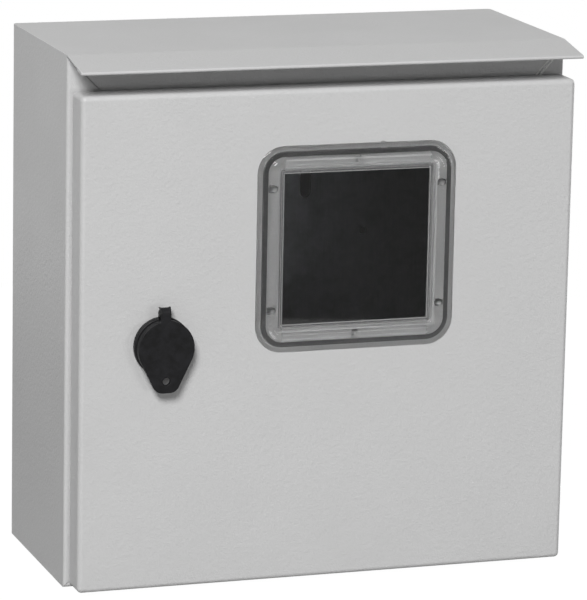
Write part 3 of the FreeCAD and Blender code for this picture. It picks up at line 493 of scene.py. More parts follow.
def rolled_zinc(name, dark, pale, rough):
    """Cold-rolled sheet with a passivated zinc layer: fine streaks along the rolling, soft clouds."""
    material, tree = new_material(name)
    place = add(tree, "ShaderNodeTexCoord")
    streak = grain(tree, place, 0.8, detail=4.0, stretch=(1, 1, 0.03))
    cloud = grain(tree, place, 14.0, detail=4.0, roughness=0.65)
    both = add(tree, "ShaderNodeMath", {
        0: streak.outputs[0], 1: 0.35, 2: cloud.outputs[0],
    }, operation="MULTIPLY_ADD")
    share = between(tree, both.outputs[0], 0.0, 1.0, 0.45, 0.90)
    rough_range = between(tree, both.outputs[0], rough - 0.06, rough + 0.08, 0.45, 0.90)
    bump = add(tree, "ShaderNodeBump", {"Strength": 0.5, "Distance": 0.01 * MM, "Height": streak.outputs[0]})
    finish_material(tree, add(tree, "ShaderNodeBsdfPrincipled", {
        "Base Color": tint(tree, share.outputs[0], dark, pale).outputs["Result"], "Metallic": 1.0,
        "Roughness": rough_range.outputs[0], "Normal": bump.outputs[0],
    }))
    return material


def plated_metal(name, dark, pale, rough):
    """Barrel-plated small parts: bright, with the slight cloudiness of tumbled zinc or chrome."""
    material, tree = new_material(name)
    place = add(tree, "ShaderNodeTexCoord")
    cloud = grain(tree, place, 2.5, detail=4.0, roughness=0.6)
    share = between(tree, cloud.outputs[0], 0.0, 1.0)
    rough_range = between(tree, cloud.outputs[0], rough - 0.05, rough + 0.10)
    bump = add(tree, "ShaderNodeBump", {"Strength": 0.3, "Distance": 0.01 * MM, "Height": cloud.outputs[0]})
    finish_material(tree, add(tree, "ShaderNodeBsdfPrincipled", {
        "Base Color": tint(tree, share.outputs[0], dark, pale).outputs["Result"], "Metallic": 1.0,
        "Roughness": rough_range.outputs[0], "Normal": bump.outputs[0],
    }))
    return material


def moulded_black():
    """Black polyethylene, injection moulded and handled: semi-matt, mottled, with faint rubbed lines."""
    material, tree = new_material("black_moulded_plastic")
    place = add(tree, "ShaderNodeTexCoord")
    mottle = grain(tree, place, 5.0, detail=5.0, roughness=0.65)
    skin = grain(tree, place, 0.7, detail=2.0)
    rub = grain(tree, place, 1.2, detail=3.0, stretch=(0.22, 1, 1.0))
    rubbed = between(tree, rub.outputs[0], 0.0, 1.0, 0.60, 0.72)
    share = between(tree, mottle.outputs[0], 0.0, 0.75, 0.38, 0.62)
    worn = add(tree, "ShaderNodeMath", {
        0: rubbed.outputs[0], 1: 0.3, 2: share.outputs[0],
    }, operation="MULTIPLY_ADD")
    rough = between(tree, mottle.outputs[0], 0.46, 0.62)
    bump = add(tree, "ShaderNodeBump", {"Strength": 0.6, "Distance": 0.06 * MM, "Height": skin.outputs[0]})
    finish_material(tree, add(tree, "ShaderNodeBsdfPrincipled", {
        "Base Color": tint(tree, worn.outputs[0], "#0C0C0D", "#1C1C1F").outputs["Result"],
        "Roughness": rough.outputs[0], "Specular IOR Level": 0.29, "Normal": bump.outputs[0],
    }))
    return material


def matt_rubber(name, dark, pale, rough, cell_mm, depth_mm):
    """Rubber or foam: matt, with cells or moulding grain of the given size."""
    material, tree = new_material(name)
    place = add(tree, "ShaderNodeTexCoord")
    cells = add(tree, "ShaderNodeTexVoronoi", {
        "Vector": place.outputs["Object"], "Scale": 1 / (cell_mm * MM),
    })
    cloud = grain(tree, place, 6.0, detail=4.0)
    share = between(tree, cloud.outputs[0], 0.0, 1.0)
    bump = add(tree, "ShaderNodeBump", {
        "Strength": 0.8, "Distance": depth_mm * MM, "Height": cells.outputs["Distance"],
    })
    finish_material(tree, add(tree, "ShaderNodeBsdfPrincipled", {
        "Base Color": tint(tree, share.outputs[0], dark, pale).outputs["Result"],
        "Roughness": rough, "Normal": bump.outputs[0],
    }))
    return material


def clear_polycarbonate():
    """Clear moulded polycarbonate: glossy, bending the light strongly, with faint flow waves.

    The step from the ridge down to the pane is a little satin, and its edges are pale lines painted in:
    painted highlights that stand in for reflections of those edges.
    """
    material, tree = new_material("clear_polycarbonate")
    low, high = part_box("window_gasket")
    centre = (low + high) / 2
    place = add(tree, "ShaderNodeTexCoord")
    flow = grain(tree, place, 18.0, detail=1.0)
    bump = add(tree, "ShaderNodeBump", {"Strength": 0.25, "Distance": 0.05 * MM, "Height": flow.outputs[0]})
    centred = add(tree, "ShaderNodeMapping", {"Vector": place.outputs["Object"], "Location": -centre})
    spread = add(tree, "ShaderNodeVectorMath", {0: centred.outputs[0]}, operation="ABSOLUTE")
    parts = add(tree, "ShaderNodeSeparateXYZ", {0: spread.outputs[0]})
    reach = add(tree, "ShaderNodeMath", {0: parts.outputs["X"], 1: parts.outputs["Z"]}, operation="MAXIMUM")
    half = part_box("window_lens")[1].x - centre.x
    inset = add(tree, "ShaderNodeMapRange", {
        "Value": reach.outputs[0], "From Min": half - SATIN_AND_PAINTED_LINES_START * MM, "From Max": half - SATIN_AND_PAINTED_LINES_END * MM,
    })
    ramp = add(tree, "ShaderNodeValToRGB", {0: inset.outputs[0]})
    stops = ramp.color_ramp.elements
    while len(stops) < len(SATIN_AND_PAINTED_LINE_STEPS):
        stops.new(0.5)
    for stop, (depth, level) in zip(stops, SATIN_AND_PAINTED_LINE_STEPS):
        stop.position = (depth - SATIN_AND_PAINTED_LINES_START) / (SATIN_AND_PAINTED_LINES_END - SATIN_AND_PAINTED_LINES_START)
        stop.color = (level, level, level, 1.0)
    clear = add(tree, "ShaderNodeBsdfPrincipled", {
        "Base Color": linear("#F2F2F2"), "Roughness": 0.02, "IOR": POLYCARBONATE_IOR,
        "Transmission Weight": 1.0, "Normal": bump.outputs[0],
    })
    # Pale satin plastic where the mask is high: a faint satin haze on the step, and painted highlight lines
    # at the step's edges
    satin = add(tree, "ShaderNodeBsdfPrincipled", {
        "Base Color": linear("#E7E7E7"), "Roughness": 0.45, "IOR": POLYCARBONATE_IOR,
        "Normal": bump.outputs[0],
    })
    finish_material(tree, add(tree, "ShaderNodeMixShader", {
        0: ramp.outputs[0], 1: clear.outputs[0], 2: satin.outputs[0],
    }))
    return material


def satin_polycarbonate():
    """The window's pins, left satin by their drilled moulds: cloudy, but light passes."""
    material, tree = new_material("satin_polycarbonate")
    place = add(tree, "ShaderNodeTexCoord")
    cloud = grain(tree, place, 0.8, detail=2.0)
    rough = between(tree, cloud.outputs[0], 0.30, 0.55)
    finish_material(tree, add(tree, "ShaderNodeBsdfPrincipled", {
        "Base Color": linear("#F2F2F2"), "Roughness": rough.outputs[0], "IOR": POLYCARBONATE_IOR,
        "Transmission Weight": 0.8,
    }))
    return material


def sealer_with_painted_glints():
    """Pale acrylic joint sealer, smoothed while wet: a soft gloss with slight waves. The pale colour is a
    painted highlight, standing in for glints along the mitre's edges.
    """
    material, tree = new_material("pale_sealer_with_painted_glints")
    place = add(tree, "ShaderNodeTexCoord")
    wave = grain(tree, place, 3.0, detail=2.0)
    share = between(tree, wave.outputs[0], 0.0, 1.0)
    bump = add(tree, "ShaderNodeBump", {"Strength": 0.5, "Distance": 0.05 * MM, "Height": wave.outputs[0]})
    finish_material(tree, add(tree, "ShaderNodeBsdfPrincipled", {
        # Near-white: a painted highlight for the glints along the mitre's edges
        "Base Color": tint(tree, share.outputs[0], "#F0F0EE", "#F8F8F6").outputs["Result"],
        "Roughness": 0.3, "Normal": bump.outputs[0],
    }))
    return material


def make_finishes():
    """One finish for each material slot of the record."""
    return {
        "grey_powder_coat": powder_coat(),
        # The mounting panel's zinc is coloured far darker than bright zinc: painted shade, standing in for
        # the dark inside of the closed box
        "zinc_sheet": rolled_zinc("zinc_sheet_with_painted_shade", "#46484A", "#606264", 0.42),
        "zinc_fasteners": plated_metal("bright_zinc_plating", "#A2A5A7", "#BEC0C1", 0.30),
        "hinge_steel": plated_metal("zinc_plated_hinge_steel", "#8F9294", "#A5A7A8", 0.36),
        "spring_steel": plated_metal("phosphated_spring_steel", "#3C3C3D", "#525253", 0.42),
        "lock_zinc": plated_metal("satin_chromed_zinc", "#B0B1B3", "#C6C7C8", 0.26),
        "black_rubber": matt_rubber("black_rubber", "#161616", "#1F1F1F", 0.68, 0.5, 0.02),
        "foam_seal": matt_rubber("grey_foam", "#2B2B2C", "#363637", 0.85, 0.7, 0.10),
        "window_seal": matt_rubber("window_cord_rubber", "#555555", "#5F5F5F", 0.6, 0.5, 0.02),
        "black_plastic": moulded_black(),
        "clear_window": clear_polycarbonate(),
    }


def dress_nodes(finishes):
    """Gives each node of the model the finish of its slot in the record."""
    for part in frame["record"]["subparts"]:
        for slot in frame["nodes"][part["node"]].material_slots:
            slot.material = finishes[part["material_slot"]]


# Shapes swept round a rounded rectangle

def eased(section, radius):
    """A section with its inner corners rounded."""
    points = [Vector(point) for point in section]
    rounded = [points[0]]
    for before, corner, after in zip(points, points[1:], points[2:]):
        back, onward = before - corner, after - corner
        start = corner + back.normalized() * min(radius, back.length * CORNER_SHARE)
        end = corner + onward.normalized() * min(radius, onward.length * CORNER_SHARE)
        rounded += [start, start * 0.25 + corner * 0.5 + end * 0.25, end]
    return rounded + [points[-1]]


def swept_rings(shape, half, corner, least_corner, section, centre, steps):
    """One ring of points for each inset and height of a section, all in millimetres."""
    rings = []
    for inset, height in section:
        radius = max(corner - inset, least_corner)
        reach_x = half[0] - inset - radius
        reach_z = half[1] - inset - radius
        ring = []
        for quarter, (side_x, side_z) in enumerate(((1, 1), (-1, 1), (-1, -1), (1, -1))):
            for step in range(steps + 1):
                angle = (quarter + step / steps) * math.pi / 2
                x = side_x * reach_x + radius * math.cos(angle)
                z = side_z * reach_z + radius * math.sin(angle)
                ring.append(shape.verts.new(centre + Vector((x, -height, z)) * MM))
        rings.append(ring)
    return rings


def bridge_rings(shape, rings):
    for first, second in zip(rings, rings[1:]):
        for index in range(len(first)):
            onward = (index + 1) % len(first)
            shape.faces.new((first[index], first[onward], second[onward], second[index]))


def cylinder(radius, start, axis, length, sides=ROUND_SIDES, end_radius=None):
    """A closed cylinder or cone as a bmesh, from a start point along an axis, in metres."""
    shape = bmesh.new()
    end_radius = radius if end_radius is None else end_radius
    bmesh.ops.create_cone(
        shape, cap_ends=True, segments=sides, radius1=radius, radius2=end_radius, depth=length,
        matrix=Matrix.Translation((0, 0, length / 2)),
    )
    turn = Vector((0, 0, 1)).rotation_difference(axis).to_matrix().to_4x4()
    shape.transform(Matrix.Translation(start) @ turn)
    return shape


def holder_of(shape):
    """A scratch object that holds a bmesh."""
    mesh = bpy.data.meshes.new("scratch")
    shape.to_mesh(mesh)
    shape.free()
    return link_object("scratch", mesh)


def carved(base, steps):
    """A base bmesh with others joined to it or cut from it, one after the other."""
    holder = holder_of(base)
    tools = []
    for operation, shape in steps:
        tool = holder_of(shape)
        cut = holder.modifiers.new("carve", "BOOLEAN")
        cut.operation = operation
        cut.object = tool
        cut.solver = "EXACT"
        tools.append(tool)
    mesh = plain_mesh(holder)
    for tool in [holder, *tools]:
        bpy.data.objects.remove(tool)
    made = bmesh.new()
    made.from_mesh(mesh)
    return made


def flat_shaded(mesh, sharp_angle):
    """Smooth shading that keeps large faces flat, from the faces' areas."""
    mesh.shade_smooth()
    mesh.set_sharp_from_angle(angle=math.radians(sharp_angle))
    holder = link_object("scratch", mesh)
    weighted = holder.modifiers.new("weights", "WEIGHTED_NORMAL")
    weighted.keep_sharp = True
    made = plain_mesh(holder)
    bpy.data.objects.remove(holder)
    return made


# Window

def window_pin_places():
    """The middle of each window pin, from the clips that hold them."""
    return [middle_of(box) for box in solid_boxes("window_clips")]


def make_window(finishes):
    """The clear moulding: bevelled rim, ridge, pane, pins through the door and a gate nub."""
    low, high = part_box("window_lens")
    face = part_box("door_pan")[0].y
    seal_low, seal_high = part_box("window_gasket")
    centre = Vector(((low.x + high.x) / 2, face, (seal_low.z + seal_high.z) / 2))
    half_width = (high.x - low.x) / 2 / MM
    half = (half_width, half_width)
    seal_start, seal_end, seal_height = WINDOW_SEAL
    section = [
        WINDOW_PANE_BACK, (WINDOW_STEP, WINDOW_GAP), (seal_end, WINDOW_GAP), (seal_end, seal_height),
        (seal_start, seal_height), (seal_start, WINDOW_GAP), (0.0, WINDOW_GAP), *WINDOW_FRONT,
    ]
    shape = bmesh.new()
    rings = swept_rings(
        shape, half, WINDOW_CORNER, WINDOW_INNER_CORNER, eased(section, WINDOW_EASE), centre,
        WINDOW_CORNER_STEPS,
    )
    bridge_rings(shape, rings)
    shape.faces.new(rings[0])
    shape.faces.new(rings[-1])
    bmesh.ops.recalc_face_normals(shape, faces=shape.faces)
    steps = []
    nub = centre + Vector((WINDOW_NUB_X, -WINDOW_GAP, half[1] + WINDOW_NUB_RISE - WINDOW_NUB_R)) * MM
    steps.append(("UNION", cylinder(WINDOW_NUB_R * MM, nub, FORWARD, (WINDOW_NUB_HEIGHT - WINDOW_GAP) * MM)))
    pins = window_pin_places()
    for place in pins:
        root = Vector((place.x, face - WINDOW_PIN_ROOT * MM, place.z))
        shank = (WINDOW_PIN_ROOT + WINDOW_PIN_END - WINDOW_PIN_CHAMFER) * MM
        steps.append(("UNION", cylinder(WINDOW_PIN_R * MM, root, INWARD, shank)))
        tip = root + INWARD * (shank - WINDOW_PIN_OVERLAP * MM)
        steps.append(("UNION", cylinder(
            WINDOW_PIN_R * MM, tip, INWARD, WINDOW_PIN_CHAMFER * MM,
            end_radius=(WINDOW_PIN_R - WINDOW_PIN_CHAMFER) * MM,
        )))
        mouth = Vector((place.x, face - (WINDOW_RIDGE + WINDOW_DIMPLE_OVERCUT) * MM, place.z))
        depth = (WINDOW_DIMPLE_DEPTH + WINDOW_DIMPLE_OVERCUT) * MM
        steps.append(("DIFFERENCE", cylinder(
            WINDOW_DIMPLE_R * MM, mouth, INWARD, depth, end_radius=WINDOW_DIMPLE_END_R * MM,
        )))
    made = carved(shape, steps)
    mesh = bpy.data.meshes.new("window")
    made.to_mesh(mesh)
    made.free()
    mesh = flat_shaded(mesh, WINDOW_SHARP)
    finish = finishes["clear_window"]
    as_piece("clear_window_moulding", mesh, finish, "door", "clear_window", "window_lens")
    mesh.materials.append(satin_polycarbonate())
    front = face - (WINDOW_RIDGE - WINDOW_PIN_SATIN_START) * MM
    for polygon in mesh.polygons:
        for place in pins:
            away = Vector((polygon.center.x - place.x, polygon.center.z - place.z))
            if away.length < WINDOW_PIN_SATIN_R * MM and polygon.center.y > front:
                polygon.material_index = 1


# Foam seal

def make_foam_seal(finishes):
    """A poured foam bead with a domed back, turning its corners in a curve."""
    low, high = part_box("door_gasket")
    centre = Vector(((low.x + high.x) / 2, low.y, (low.z + high.z) / 2))
    half = ((high.x - low.x) / 2 / MM, (high.z - low.z) / 2 / MM)
    height = (high.y - low.y) / MM
    section = []
    for step in range(FOAM_CROWN_STEPS + 1):
        angle = math.pi * step / FOAM_CROWN_STEPS
        lean = math.cos(angle)
        across = FOAM_WIDTH / 2 * (1 - math.copysign(abs(lean) ** FOAM_CROWN_POWER, lean))
        section.append((across, -height * math.sin(angle) ** FOAM_CROWN_POWER))
    shape = bmesh.new()
    rings = swept_rings(
        shape, half, FOAM_CORNER, FOAM_LEAST_CORNER, section, centre, FOAM_CORNER_STEPS,
    )
    bridge_rings(shape, [*rings, rings[0]])
    bmesh.ops.recalc_face_normals(shape, faces=shape.faces)
    mesh = shaded(shape, FOAM_SHARP)
    seal = as_piece("door_foam_seal", mesh, finishes["foam_seal"], "door", "foam_seal", "door_gasket")


# Moulded pieces with soft edges

def moulded(node):
    """A CAD node's shape as it comes from a mould, with every edge a little rounded."""
    holder = holder_of(merged_copy(node))
    remesh = holder.modifiers.new("remesh", "REMESH")
    remesh.mode = "VOXEL"
    remesh.voxel_size = MOULD_VOXEL * MM
    relax = holder.modifiers.new("relax", "SMOOTH")
    relax.factor = MOULD_RELAX
    relax.iterations = MOULD_ROUNDS
    mesh = plain_mesh(holder)
    bpy.data.objects.remove(holder)
    mesh.shade_smooth()
    return mesh


def flare_strap(mesh, middle, top):
    """Widens the strap's rolled end and hollows its top edge, leaving an ear at each corner."""
    for vert in mesh.vertices:
        rise = max(0.0, 1 - (top - vert.co.z) / (FLARE_START * MM))
        if rise > 0:
            across = (vert.co.x - middle) / (STRAP_HALF * MM)
            vert.co.x += (vert.co.x - middle) * FLARE_WIDTH * rise ** 3
            vert.co.z += FLARE_RISE * MM * (across ** 4 - FLARE_DIP) * rise ** 2


def make_lock_plastics(finishes):
    """The cap and the collar round the lock."""
    collar_low, collar_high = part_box("lock_collar")
    cap = moulded("lock_cap")
    flare_strap(cap, (collar_low.x + collar_high.x) / 2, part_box("lock_cap")[1].z)
    plastic = finishes["black_plastic"]
    as_piece("lock_cap_moulding", cap, plastic, "cap", "black_plastic", "lock_cap")
    collar = moulded("lock_collar")
    as_piece("lock_collar_moulding", collar, plastic, "door", "black_plastic", "lock_collar")


def lathed(shape, profile, centre, sides):
    """Turns a profile that begins and ends on the upright axis through a centre.

    A ring on the axis is one point, so the faces beside it are triangles.
    """
    rings = []
    for radius, height in profile:
        place = centre + UP * height * MM
        if radius < TOUCHING:
            rings.append([shape.verts.new(place)])
            continue
        ring = []
        for side in range(sides):
            angle = math.tau * side / sides
            ring.append(shape.verts.new(place + Vector((math.cos(angle), math.sin(angle), 0)) * radius * MM))
        rings.append(ring)
    for first, second in zip(rings, rings[1:]):
        for side in range(sides):
            onward = (side + 1) % sides
            corners = dict.fromkeys((
                first[side % len(first)], first[onward % len(first)],
                second[onward % len(second)], second[side % len(second)],
            ))
            shape.faces.new(list(corners))


def make_grommets(finishes):
    """Rubber plugs with a stepped cone, to be cut at the step that fits the cable."""
    shape = bmesh.new()
    for box in solid_boxes("cable_grommets"):
        centre = middle_of(box)
        centre.z = box[0].z + GROMMET_LIP * MM
        lathed(shape, eased(GROMMET_PROFILE, GROMMET_EASE), centre, GROMMET_SIDES)
    bmesh.ops.recalc_face_normals(shape, faces=shape.faces)
    mesh = shaded(shape, GROMMET_SHARP)
    as_piece("rubber_grommets", mesh, finishes["black_rubber"], "cabinet", "black_rubber", "cable_grommets")


# Sheet and metal pieces with soft edges

def eased_copy(node, width):
    """A CAD node's shape with every sharp edge a little rounded."""
    shape = merged_copy(node)
    bmesh.ops.dissolve_limit(
        shape, angle_limit=math.radians(FLAT_ANGLE), verts=shape.verts, edges=shape.edges,
    )
    holder = holder_of(shape)
    soften = holder.modifiers.new("soften", "BEVEL")
    soften.width = width * MM
    soften.segments = EASE_SEGMENTS
    soften.limit_method = "ANGLE"
    soften.angle_limit = math.radians(EASE_ANGLE)
    mesh = plain_mesh(holder)
    bpy.data.objects.remove(holder)
    return flat_shaded(mesh, EASE_ANGLE)


def make_eased_pieces(finishes):
    slots = {part["node"]: part["material_slot"] for part in frame["record"]["subparts"]}
    for table, width in ((SHEET_PIECES, SHEET_EASE), (METAL_PIECES, METAL_EASE)):
        for body, nodes in table.items():
            for node in nodes:
                slot = slots[node]
                as_piece("finished_" + node, eased_copy(node, width), finishes[slot], body, slot, node)


def make_mitre_bead():
    """Sealer drawn along the two edges of the right mitre, pale to paint the glints of those edges."""
    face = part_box("top_plate")[0].y + LIP_DEPTH * MM
    start = Vector((BEAD_START[0] * MM, face, BEAD_START[1] * MM))
    end = Vector((BEAD_END[0] * MM, face, BEAD_END[1] * MM))
    along = (end - start).normalized()
    across = INWARD.cross(along)
    taper = along * BEAD_TAPER * MM
    stations = (
        (start, BEAD_END_RISE), (start + taper, 1.0), (end - taper, 1.0), (end, BEAD_END_RISE),
    )
    shape = bmesh.new()
    for shift in BEAD_SHIFTS:
        rings = []
        for place, height in stations:
            ring = []
            for u, rise in BEAD_SECTION:
                ring.append(shape.verts.new(place + (across * (u + shift) + FORWARD * rise * height) * MM))
            rings.append(ring)
        bridge_rings(shape, rings)
        shape.faces.new(rings[0])
        shape.faces.new(rings[-1])
    bmesh.ops.recalc_face_normals(shape, faces=shape.faces)
    as_piece("mitre_sealer_with_painted_glints", shaded(shape, BEAD_SHARP), sealer_with_painted_glints(), "cabinet", "grey_powder_coat")


# Fasteners that repeat

def new_tree(name, sizes):
    """A Geometry Nodes tree on points, with named sizes in millimetres, an axis and a material."""
    tree = bpy.data.node_groups.new(name, "GeometryNodeTree")
    face = tree.interface
    face.new_socket("Points", in_out="INPUT", socket_type="NodeSocketGeometry")
    for title in sizes:
        face.new_socket(title, in_out="INPUT", socket_type="NodeSocketFloat")
    face.new_socket("Axis", in_out="INPUT", socket_type="NodeSocketVector")
    face.new_socket("Finish", in_out="INPUT", socket_type="NodeSocketMaterial")
    face.new_socket("Pieces", in_out="OUTPUT", socket_type="NodeSocketGeometry")
    return tree, add(tree, "NodeGroupInput")


def in_metres(tree, value):
    return add(tree, "ShaderNodeMath", {0: value, 1: MM}, operation="MULTIPLY").outputs[0]


def sum_of(tree, first, second, operation="ADD"):
    return add(tree, "ShaderNodeMath", {0: first, 1: second}, operation=operation).outputs[0]


def lifted(tree, geometry, height):
    """Moves geometry up its own axis."""
    offset = add(tree, "ShaderNodeCombineXYZ", {"Z": height})
    moved = add(tree, "GeometryNodeTransform", {
        "Geometry": geometry, "Translation": offset.outputs[0],
    })
    return moved.outputs[0]


def finish_tree(tree, given, geometry, sharp_angle):
    """Puts the geometry on every point, turned to the axis, and makes it plain mesh."""
    turn = add(tree, "FunctionNodeAlignRotationToVector", {"Vector": given.outputs["Axis"]}, axis="Z")
    placed = add(tree, "GeometryNodeInstanceOnPoints", {
        "Points": given.outputs["Points"], "Instance": geometry, "Rotation": turn.outputs[0],
    })
    real = add(tree, "GeometryNodeRealizeInstances", {0: placed.outputs[0]})
    angle = add(tree, "GeometryNodeInputMeshEdgeAngle")
    gentle = add(tree, "FunctionNodeCompare", {
        0: angle.outputs[0], 1: math.radians(sharp_angle),
    }, operation="LESS_THAN")
    faces = add(tree, "GeometryNodeSetShadeSmooth", {0: real.outputs[0], "Shade Smooth": True}, domain="FACE")
    edges = add(tree, "GeometryNodeSetShadeSmooth", {
        0: faces.outputs[0], "Shade Smooth": gentle.outputs[0],
    }, domain="EDGE")
    finish = add(tree, "GeometryNodeSetMaterial", {0: edges.outputs[0], "Material": given.outputs["Finish"]})
    add(tree, "NodeGroupOutput", {0: finish.outputs[0]})
    return tree


def nut_tree():
    """A hexagon nut: a prism cut by a cone at each end and bored through."""
    tree, given = new_tree("hexagon_nuts", ("Flats", "Height", "Bore"))
    height = in_metres(tree, given.outputs["Height"])
    flats = in_metres(tree, given.outputs["Flats"])
    corner = sum_of(tree, flats, math.sqrt(3), "DIVIDE")
    prism = add(tree, "GeometryNodeMeshCylinder", {
        "Vertices": HEXAGON_SIDES, "Radius": corner, "Depth": height,
    })
    half = sum_of(tree, height, 0.5, "MULTIPLY")
    rim = sum_of(tree, flats, NUT_CHAMFER / 2, "MULTIPLY")
    wide = sum_of(tree, rim, sum_of(tree, height, 1 / NUT_CHAMFER_SLOPE, "MULTIPLY"))
    solids = [lifted(tree, prism.outputs[0], half)]
    for top, bottom in ((rim, wide), (wide, rim)):
        cone = add(tree, "GeometryNodeMeshCone", {
            "Vertices": ROUND_SIDES, "Radius Top": top, "Radius Bottom": bottom, "Depth": height,
        })
        solids.append(cone.outputs[0])
    cut = add(tree, "GeometryNodeMeshBoolean", operation="INTERSECT", solver="EXACT")
    for solid in solids:
        tree.links.new(solid, cut.inputs["Mesh 2"])
    bore = in_metres(tree, given.outputs["Bore"])
    drill = add(tree, "GeometryNodeMeshCylinder", {
        "Vertices": ROUND_SIDES, "Radius": bore,
        "Depth": sum_of(tree, height, DRILL_REACH, "MULTIPLY"),
    })
    bored = add(tree, "GeometryNodeMeshBoolean", {
        "Mesh 1": cut.outputs[0], "Mesh 2": drill.outputs[0],
    }, operation="DIFFERENCE", solver="EXACT")
    return finish_tree(tree, given, bored.outputs[0], NUT_SHARP)


def stud_tree():
    """A foot of the given sides and size, with a threaded rod on it."""
    sizes = ("Foot radius", "Foot height", "Foot sides", "Radius", "Length", "Pitch", "Depth")
    tree, given = new_tree("threaded_studs", sizes)
    foot_height = in_metres(tree, given.outputs["Foot height"])
    length = in_metres(tree, given.outputs["Length"])
    radius = in_metres(tree, given.outputs["Radius"])
    pitch = in_metres(tree, given.outputs["Pitch"])
    depth = in_metres(tree, given.outputs["Depth"])
    sides = add(tree, "FunctionNodeFloatToInt", {0: given.outputs["Foot sides"]})
    foot = add(tree, "GeometryNodeMeshCylinder", {
        "Vertices": sides.outputs[0], "Radius": in_metres(tree, given.outputs["Foot radius"]),
        "Depth": foot_height,
    })
    core_radius = sum_of(tree, radius, depth, "SUBTRACT")
    core = add(tree, "GeometryNodeMeshCylinder", {
        "Vertices": ROUND_SIDES, "Radius": core_radius, "Depth": length,
    })
    run = sum_of(tree, length, pitch, "SUBTRACT")
    spiral = add(tree, "GeometryNodeCurveSpiral", {
        "Resolution": THREAD_STEPS, "Rotations": sum_of(tree, run, pitch, "DIVIDE"),
        "Start Radius": core_radius, "End Radius": core_radius, "Height": run,
    })
    profile = add(tree, "GeometryNodeCurvePrimitiveCircle", {
        "Resolution": THREAD_SECTION_SIDES, "Radius": depth,
    }, mode="RADIUS")
    thread = add(tree, "GeometryNodeCurveToMesh", {
        "Curve": spiral.outputs[0], "Profile Curve": profile.outputs[0], "Fill Caps": True,
    })
    half_pitch = sum_of(tree, pitch, 0.5, "MULTIPLY")
    pieces = [
        lifted(tree, foot.outputs[0], sum_of(tree, foot_height, 0.5, "MULTIPLY")),
        lifted(tree, core.outputs[0], sum_of(tree, foot_height, sum_of(tree, length, 0.5, "MULTIPLY"))),
        lifted(tree, thread.outputs[0], sum_of(tree, foot_height, half_pitch)),
    ]
    joined = add(tree, "GeometryNodeJoinGeometry")
    for piece in pieces:
        tree.links.new(piece, joined.inputs[0])
    return finish_tree(tree, given, joined.outputs[0], STUD_SHARP)


def clip_tree():
    """A push-on clip: a thin dished ring with teeth bent up round the pin."""
    tree, given = new_tree("push_on_clips", ("Radius", "Hole", "Sheet", "Tooth reach"))
    sheet = in_metres(tree, given.outputs["Sheet"])
    disc = add(tree, "GeometryNodeMeshCylinder", {
        "Vertices": ROUND_SIDES, "Radius": in_metres(tree, given.outputs["Radius"]), "Depth": sheet,
    })
    hole = add(tree, "GeometryNodeMeshCylinder", {
        "Vertices": ROUND_SIDES, "Radius": in_metres(tree, given.outputs["Hole"]),
        "Depth": sum_of(tree, sheet, DRILL_REACH, "MULTIPLY"),
    })
    plate = add(tree, "GeometryNodeMeshBoolean", {
        "Mesh 1": disc.outputs[0], "Mesh 2": hole.outputs[0],
    }, operation="DIFFERENCE", solver="EXACT")
    tooth = add(tree, "GeometryNodeMeshCube", {"Size": [size * MM for size in CLIP_TOOTH]})
    tilted = add(tree, "GeometryNodeTransform", {
        "Geometry": tooth.outputs[0], "Rotation": (0.0, math.radians(CLIP_TOOTH_TILT), 0.0),
    })
    ring = add(tree, "GeometryNodeMeshCircle", {
        "Vertices": CLIP_TEETH, "Radius": in_metres(tree, given.outputs["Tooth reach"]),
    })
    place = add(tree, "GeometryNodeInputPosition")
    outward = add(tree, "FunctionNodeAlignRotationToVector", {
        "Vector": place.outputs[0],
    }, axis="X", pivot_axis="Z")
    teeth = add(tree, "GeometryNodeInstanceOnPoints", {
        "Points": ring.outputs[0], "Instance": tilted.outputs[0], "Rotation": outward.outputs[0],
    })
    joined = add(tree, "GeometryNodeJoinGeometry")
    half = sum_of(tree, sheet, 0.5, "MULTIPLY")
    for piece in (lifted(tree, plate.outputs[0], half), lifted(tree, teeth.outputs[0], sheet)):
        tree.links.new(piece, joined.inputs[0])
    return finish_tree(tree, given, joined.outputs[0], CLIP_SHARP)


def grown(name, tree, places, axis, sizes, finishes, body, slot, *nodes):
    """Runs a tree on points and keeps what it makes as one plain piece."""
    points = bpy.data.meshes.new("points")
    points.from_pydata([tuple(place) for place in places], [], [])
    holder = link_object("points", points)
    grow = holder.modifiers.new("grow", "NODES")
    grow.node_group = tree
    values = {**sizes, "Axis": tuple(axis), "Finish": finishes[slot]}
    for socket in tree.interface.items_tree:
        if socket.in_out == "INPUT" and socket.name in values:
            grow[socket.identifier] = values[socket.name]
    mesh = plain_mesh(holder)
    bpy.data.objects.remove(holder)
    as_piece(name, mesh, finishes[slot], body, slot, *nodes)


def feet(node, axis):
    """The middle of each solid's lower end, looking along an axis."""
    places = []
    for low, high in solid_boxes(node):
        size = high - low
        places.append((low + high) / 2 - axis * abs(size.dot(axis)) / 2)
    return places


def extent(node, axis):
    """The length of a node's first solid along an axis, in millimetres."""
    low, high = solid_boxes(node)[0]
    return abs((high - low).dot(axis)) / MM


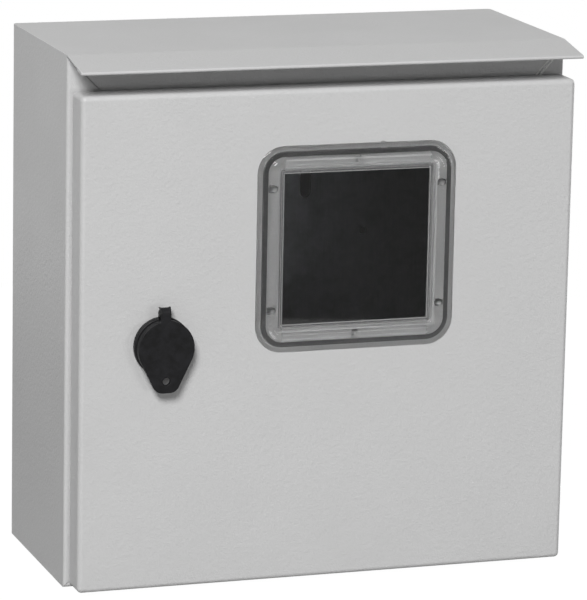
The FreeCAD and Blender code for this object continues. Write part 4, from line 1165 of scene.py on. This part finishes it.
def make_fasteners(finishes):
    nuts, studs, clips = nut_tree(), stud_tree(), clip_tree()
    for name, node, axis, body in (
        ("panel_nuts_m6", "panel_nuts", FORWARD, "cabinet"),
        ("earth_nut_m6", "earth_nut", UP, "cabinet"),
        ("door_earth_nut_m6", "door_earth_nut", INWARD, "door"),
    ):
        sizes = {"Flats": M6_FLATS, "Height": extent(node, axis), "Bore": M6_RADIUS}
        grown(name, nuts, feet(node, axis), axis, sizes, finishes, body, "zinc_fasteners", node)
    base = {"Radius": M6_RADIUS, "Pitch": M6_PITCH, "Depth": M6_DEPTH}
    panel_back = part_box("panel_washers")[1].y + PANEL_SHEET * MM
    spacer = (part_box("panel_studs")[1].y - panel_back) / MM
    sizes = {
        **base, "Foot radius": M6_FLATS / math.sqrt(3), "Foot height": spacer,
        "Foot sides": float(HEXAGON_SIDES), "Length": extent("panel_studs", FORWARD) - spacer,
    }
    grown("panel_spacer_studs", studs, feet("panel_studs", FORWARD), FORWARD, sizes, finishes, "cabinet",
          "zinc_fasteners", "panel_studs")
    for name, node, axis, body in (
        ("earth_stud_m6", "earth_stud", UP, "cabinet"),
        ("door_earth_stud_m6", "door_earth_stud", INWARD, "door"),
    ):
        sizes = {
            **base, "Foot radius": EARTH_FOOT_R, "Foot height": EARTH_FOOT_HEIGHT,
            "Foot sides": EARTH_FOOT_SIDES, "Length": extent(node, axis) - EARTH_FOOT_HEIGHT,
        }
        grown(name, studs, feet(node, axis), axis, sizes, finishes, body, "zinc_fasteners", node)
    sizes = {"Radius": CLIP_RADIUS, "Hole": CLIP_HOLE, "Sheet": CLIP_SHEET, "Tooth reach": CLIP_TOOTH_REACH}
    grown("window_pin_clips", clips, feet("window_clips", INWARD), INWARD, sizes, finishes, "door",
          "spring_steel", "window_clips")


def main():
    bpy.context.scene.view_settings.view_transform = "Standard"
    make_camera()
    make_world()
    make_floor()
    make_lamp("key_softbox", KEY_PLACE, KEY_SIZE, KEY_POWER)
    make_lamp("fill_softbox", FILL_PLACE, FILL_SIZE, FILL_POWER)
    make_lamp("rear_softbox", REAR_PLACE, REAR_SIZE, REAR_POWER)
    finishes = make_finishes()
    dress_nodes(finishes)
    make_window(finishes)
    make_foam_seal(finishes)
    make_lock_plastics(finishes)
    make_grommets(finishes)
    make_eased_pieces(finishes)
    make_mitre_bead()
    make_fasteners(finishes)


main()
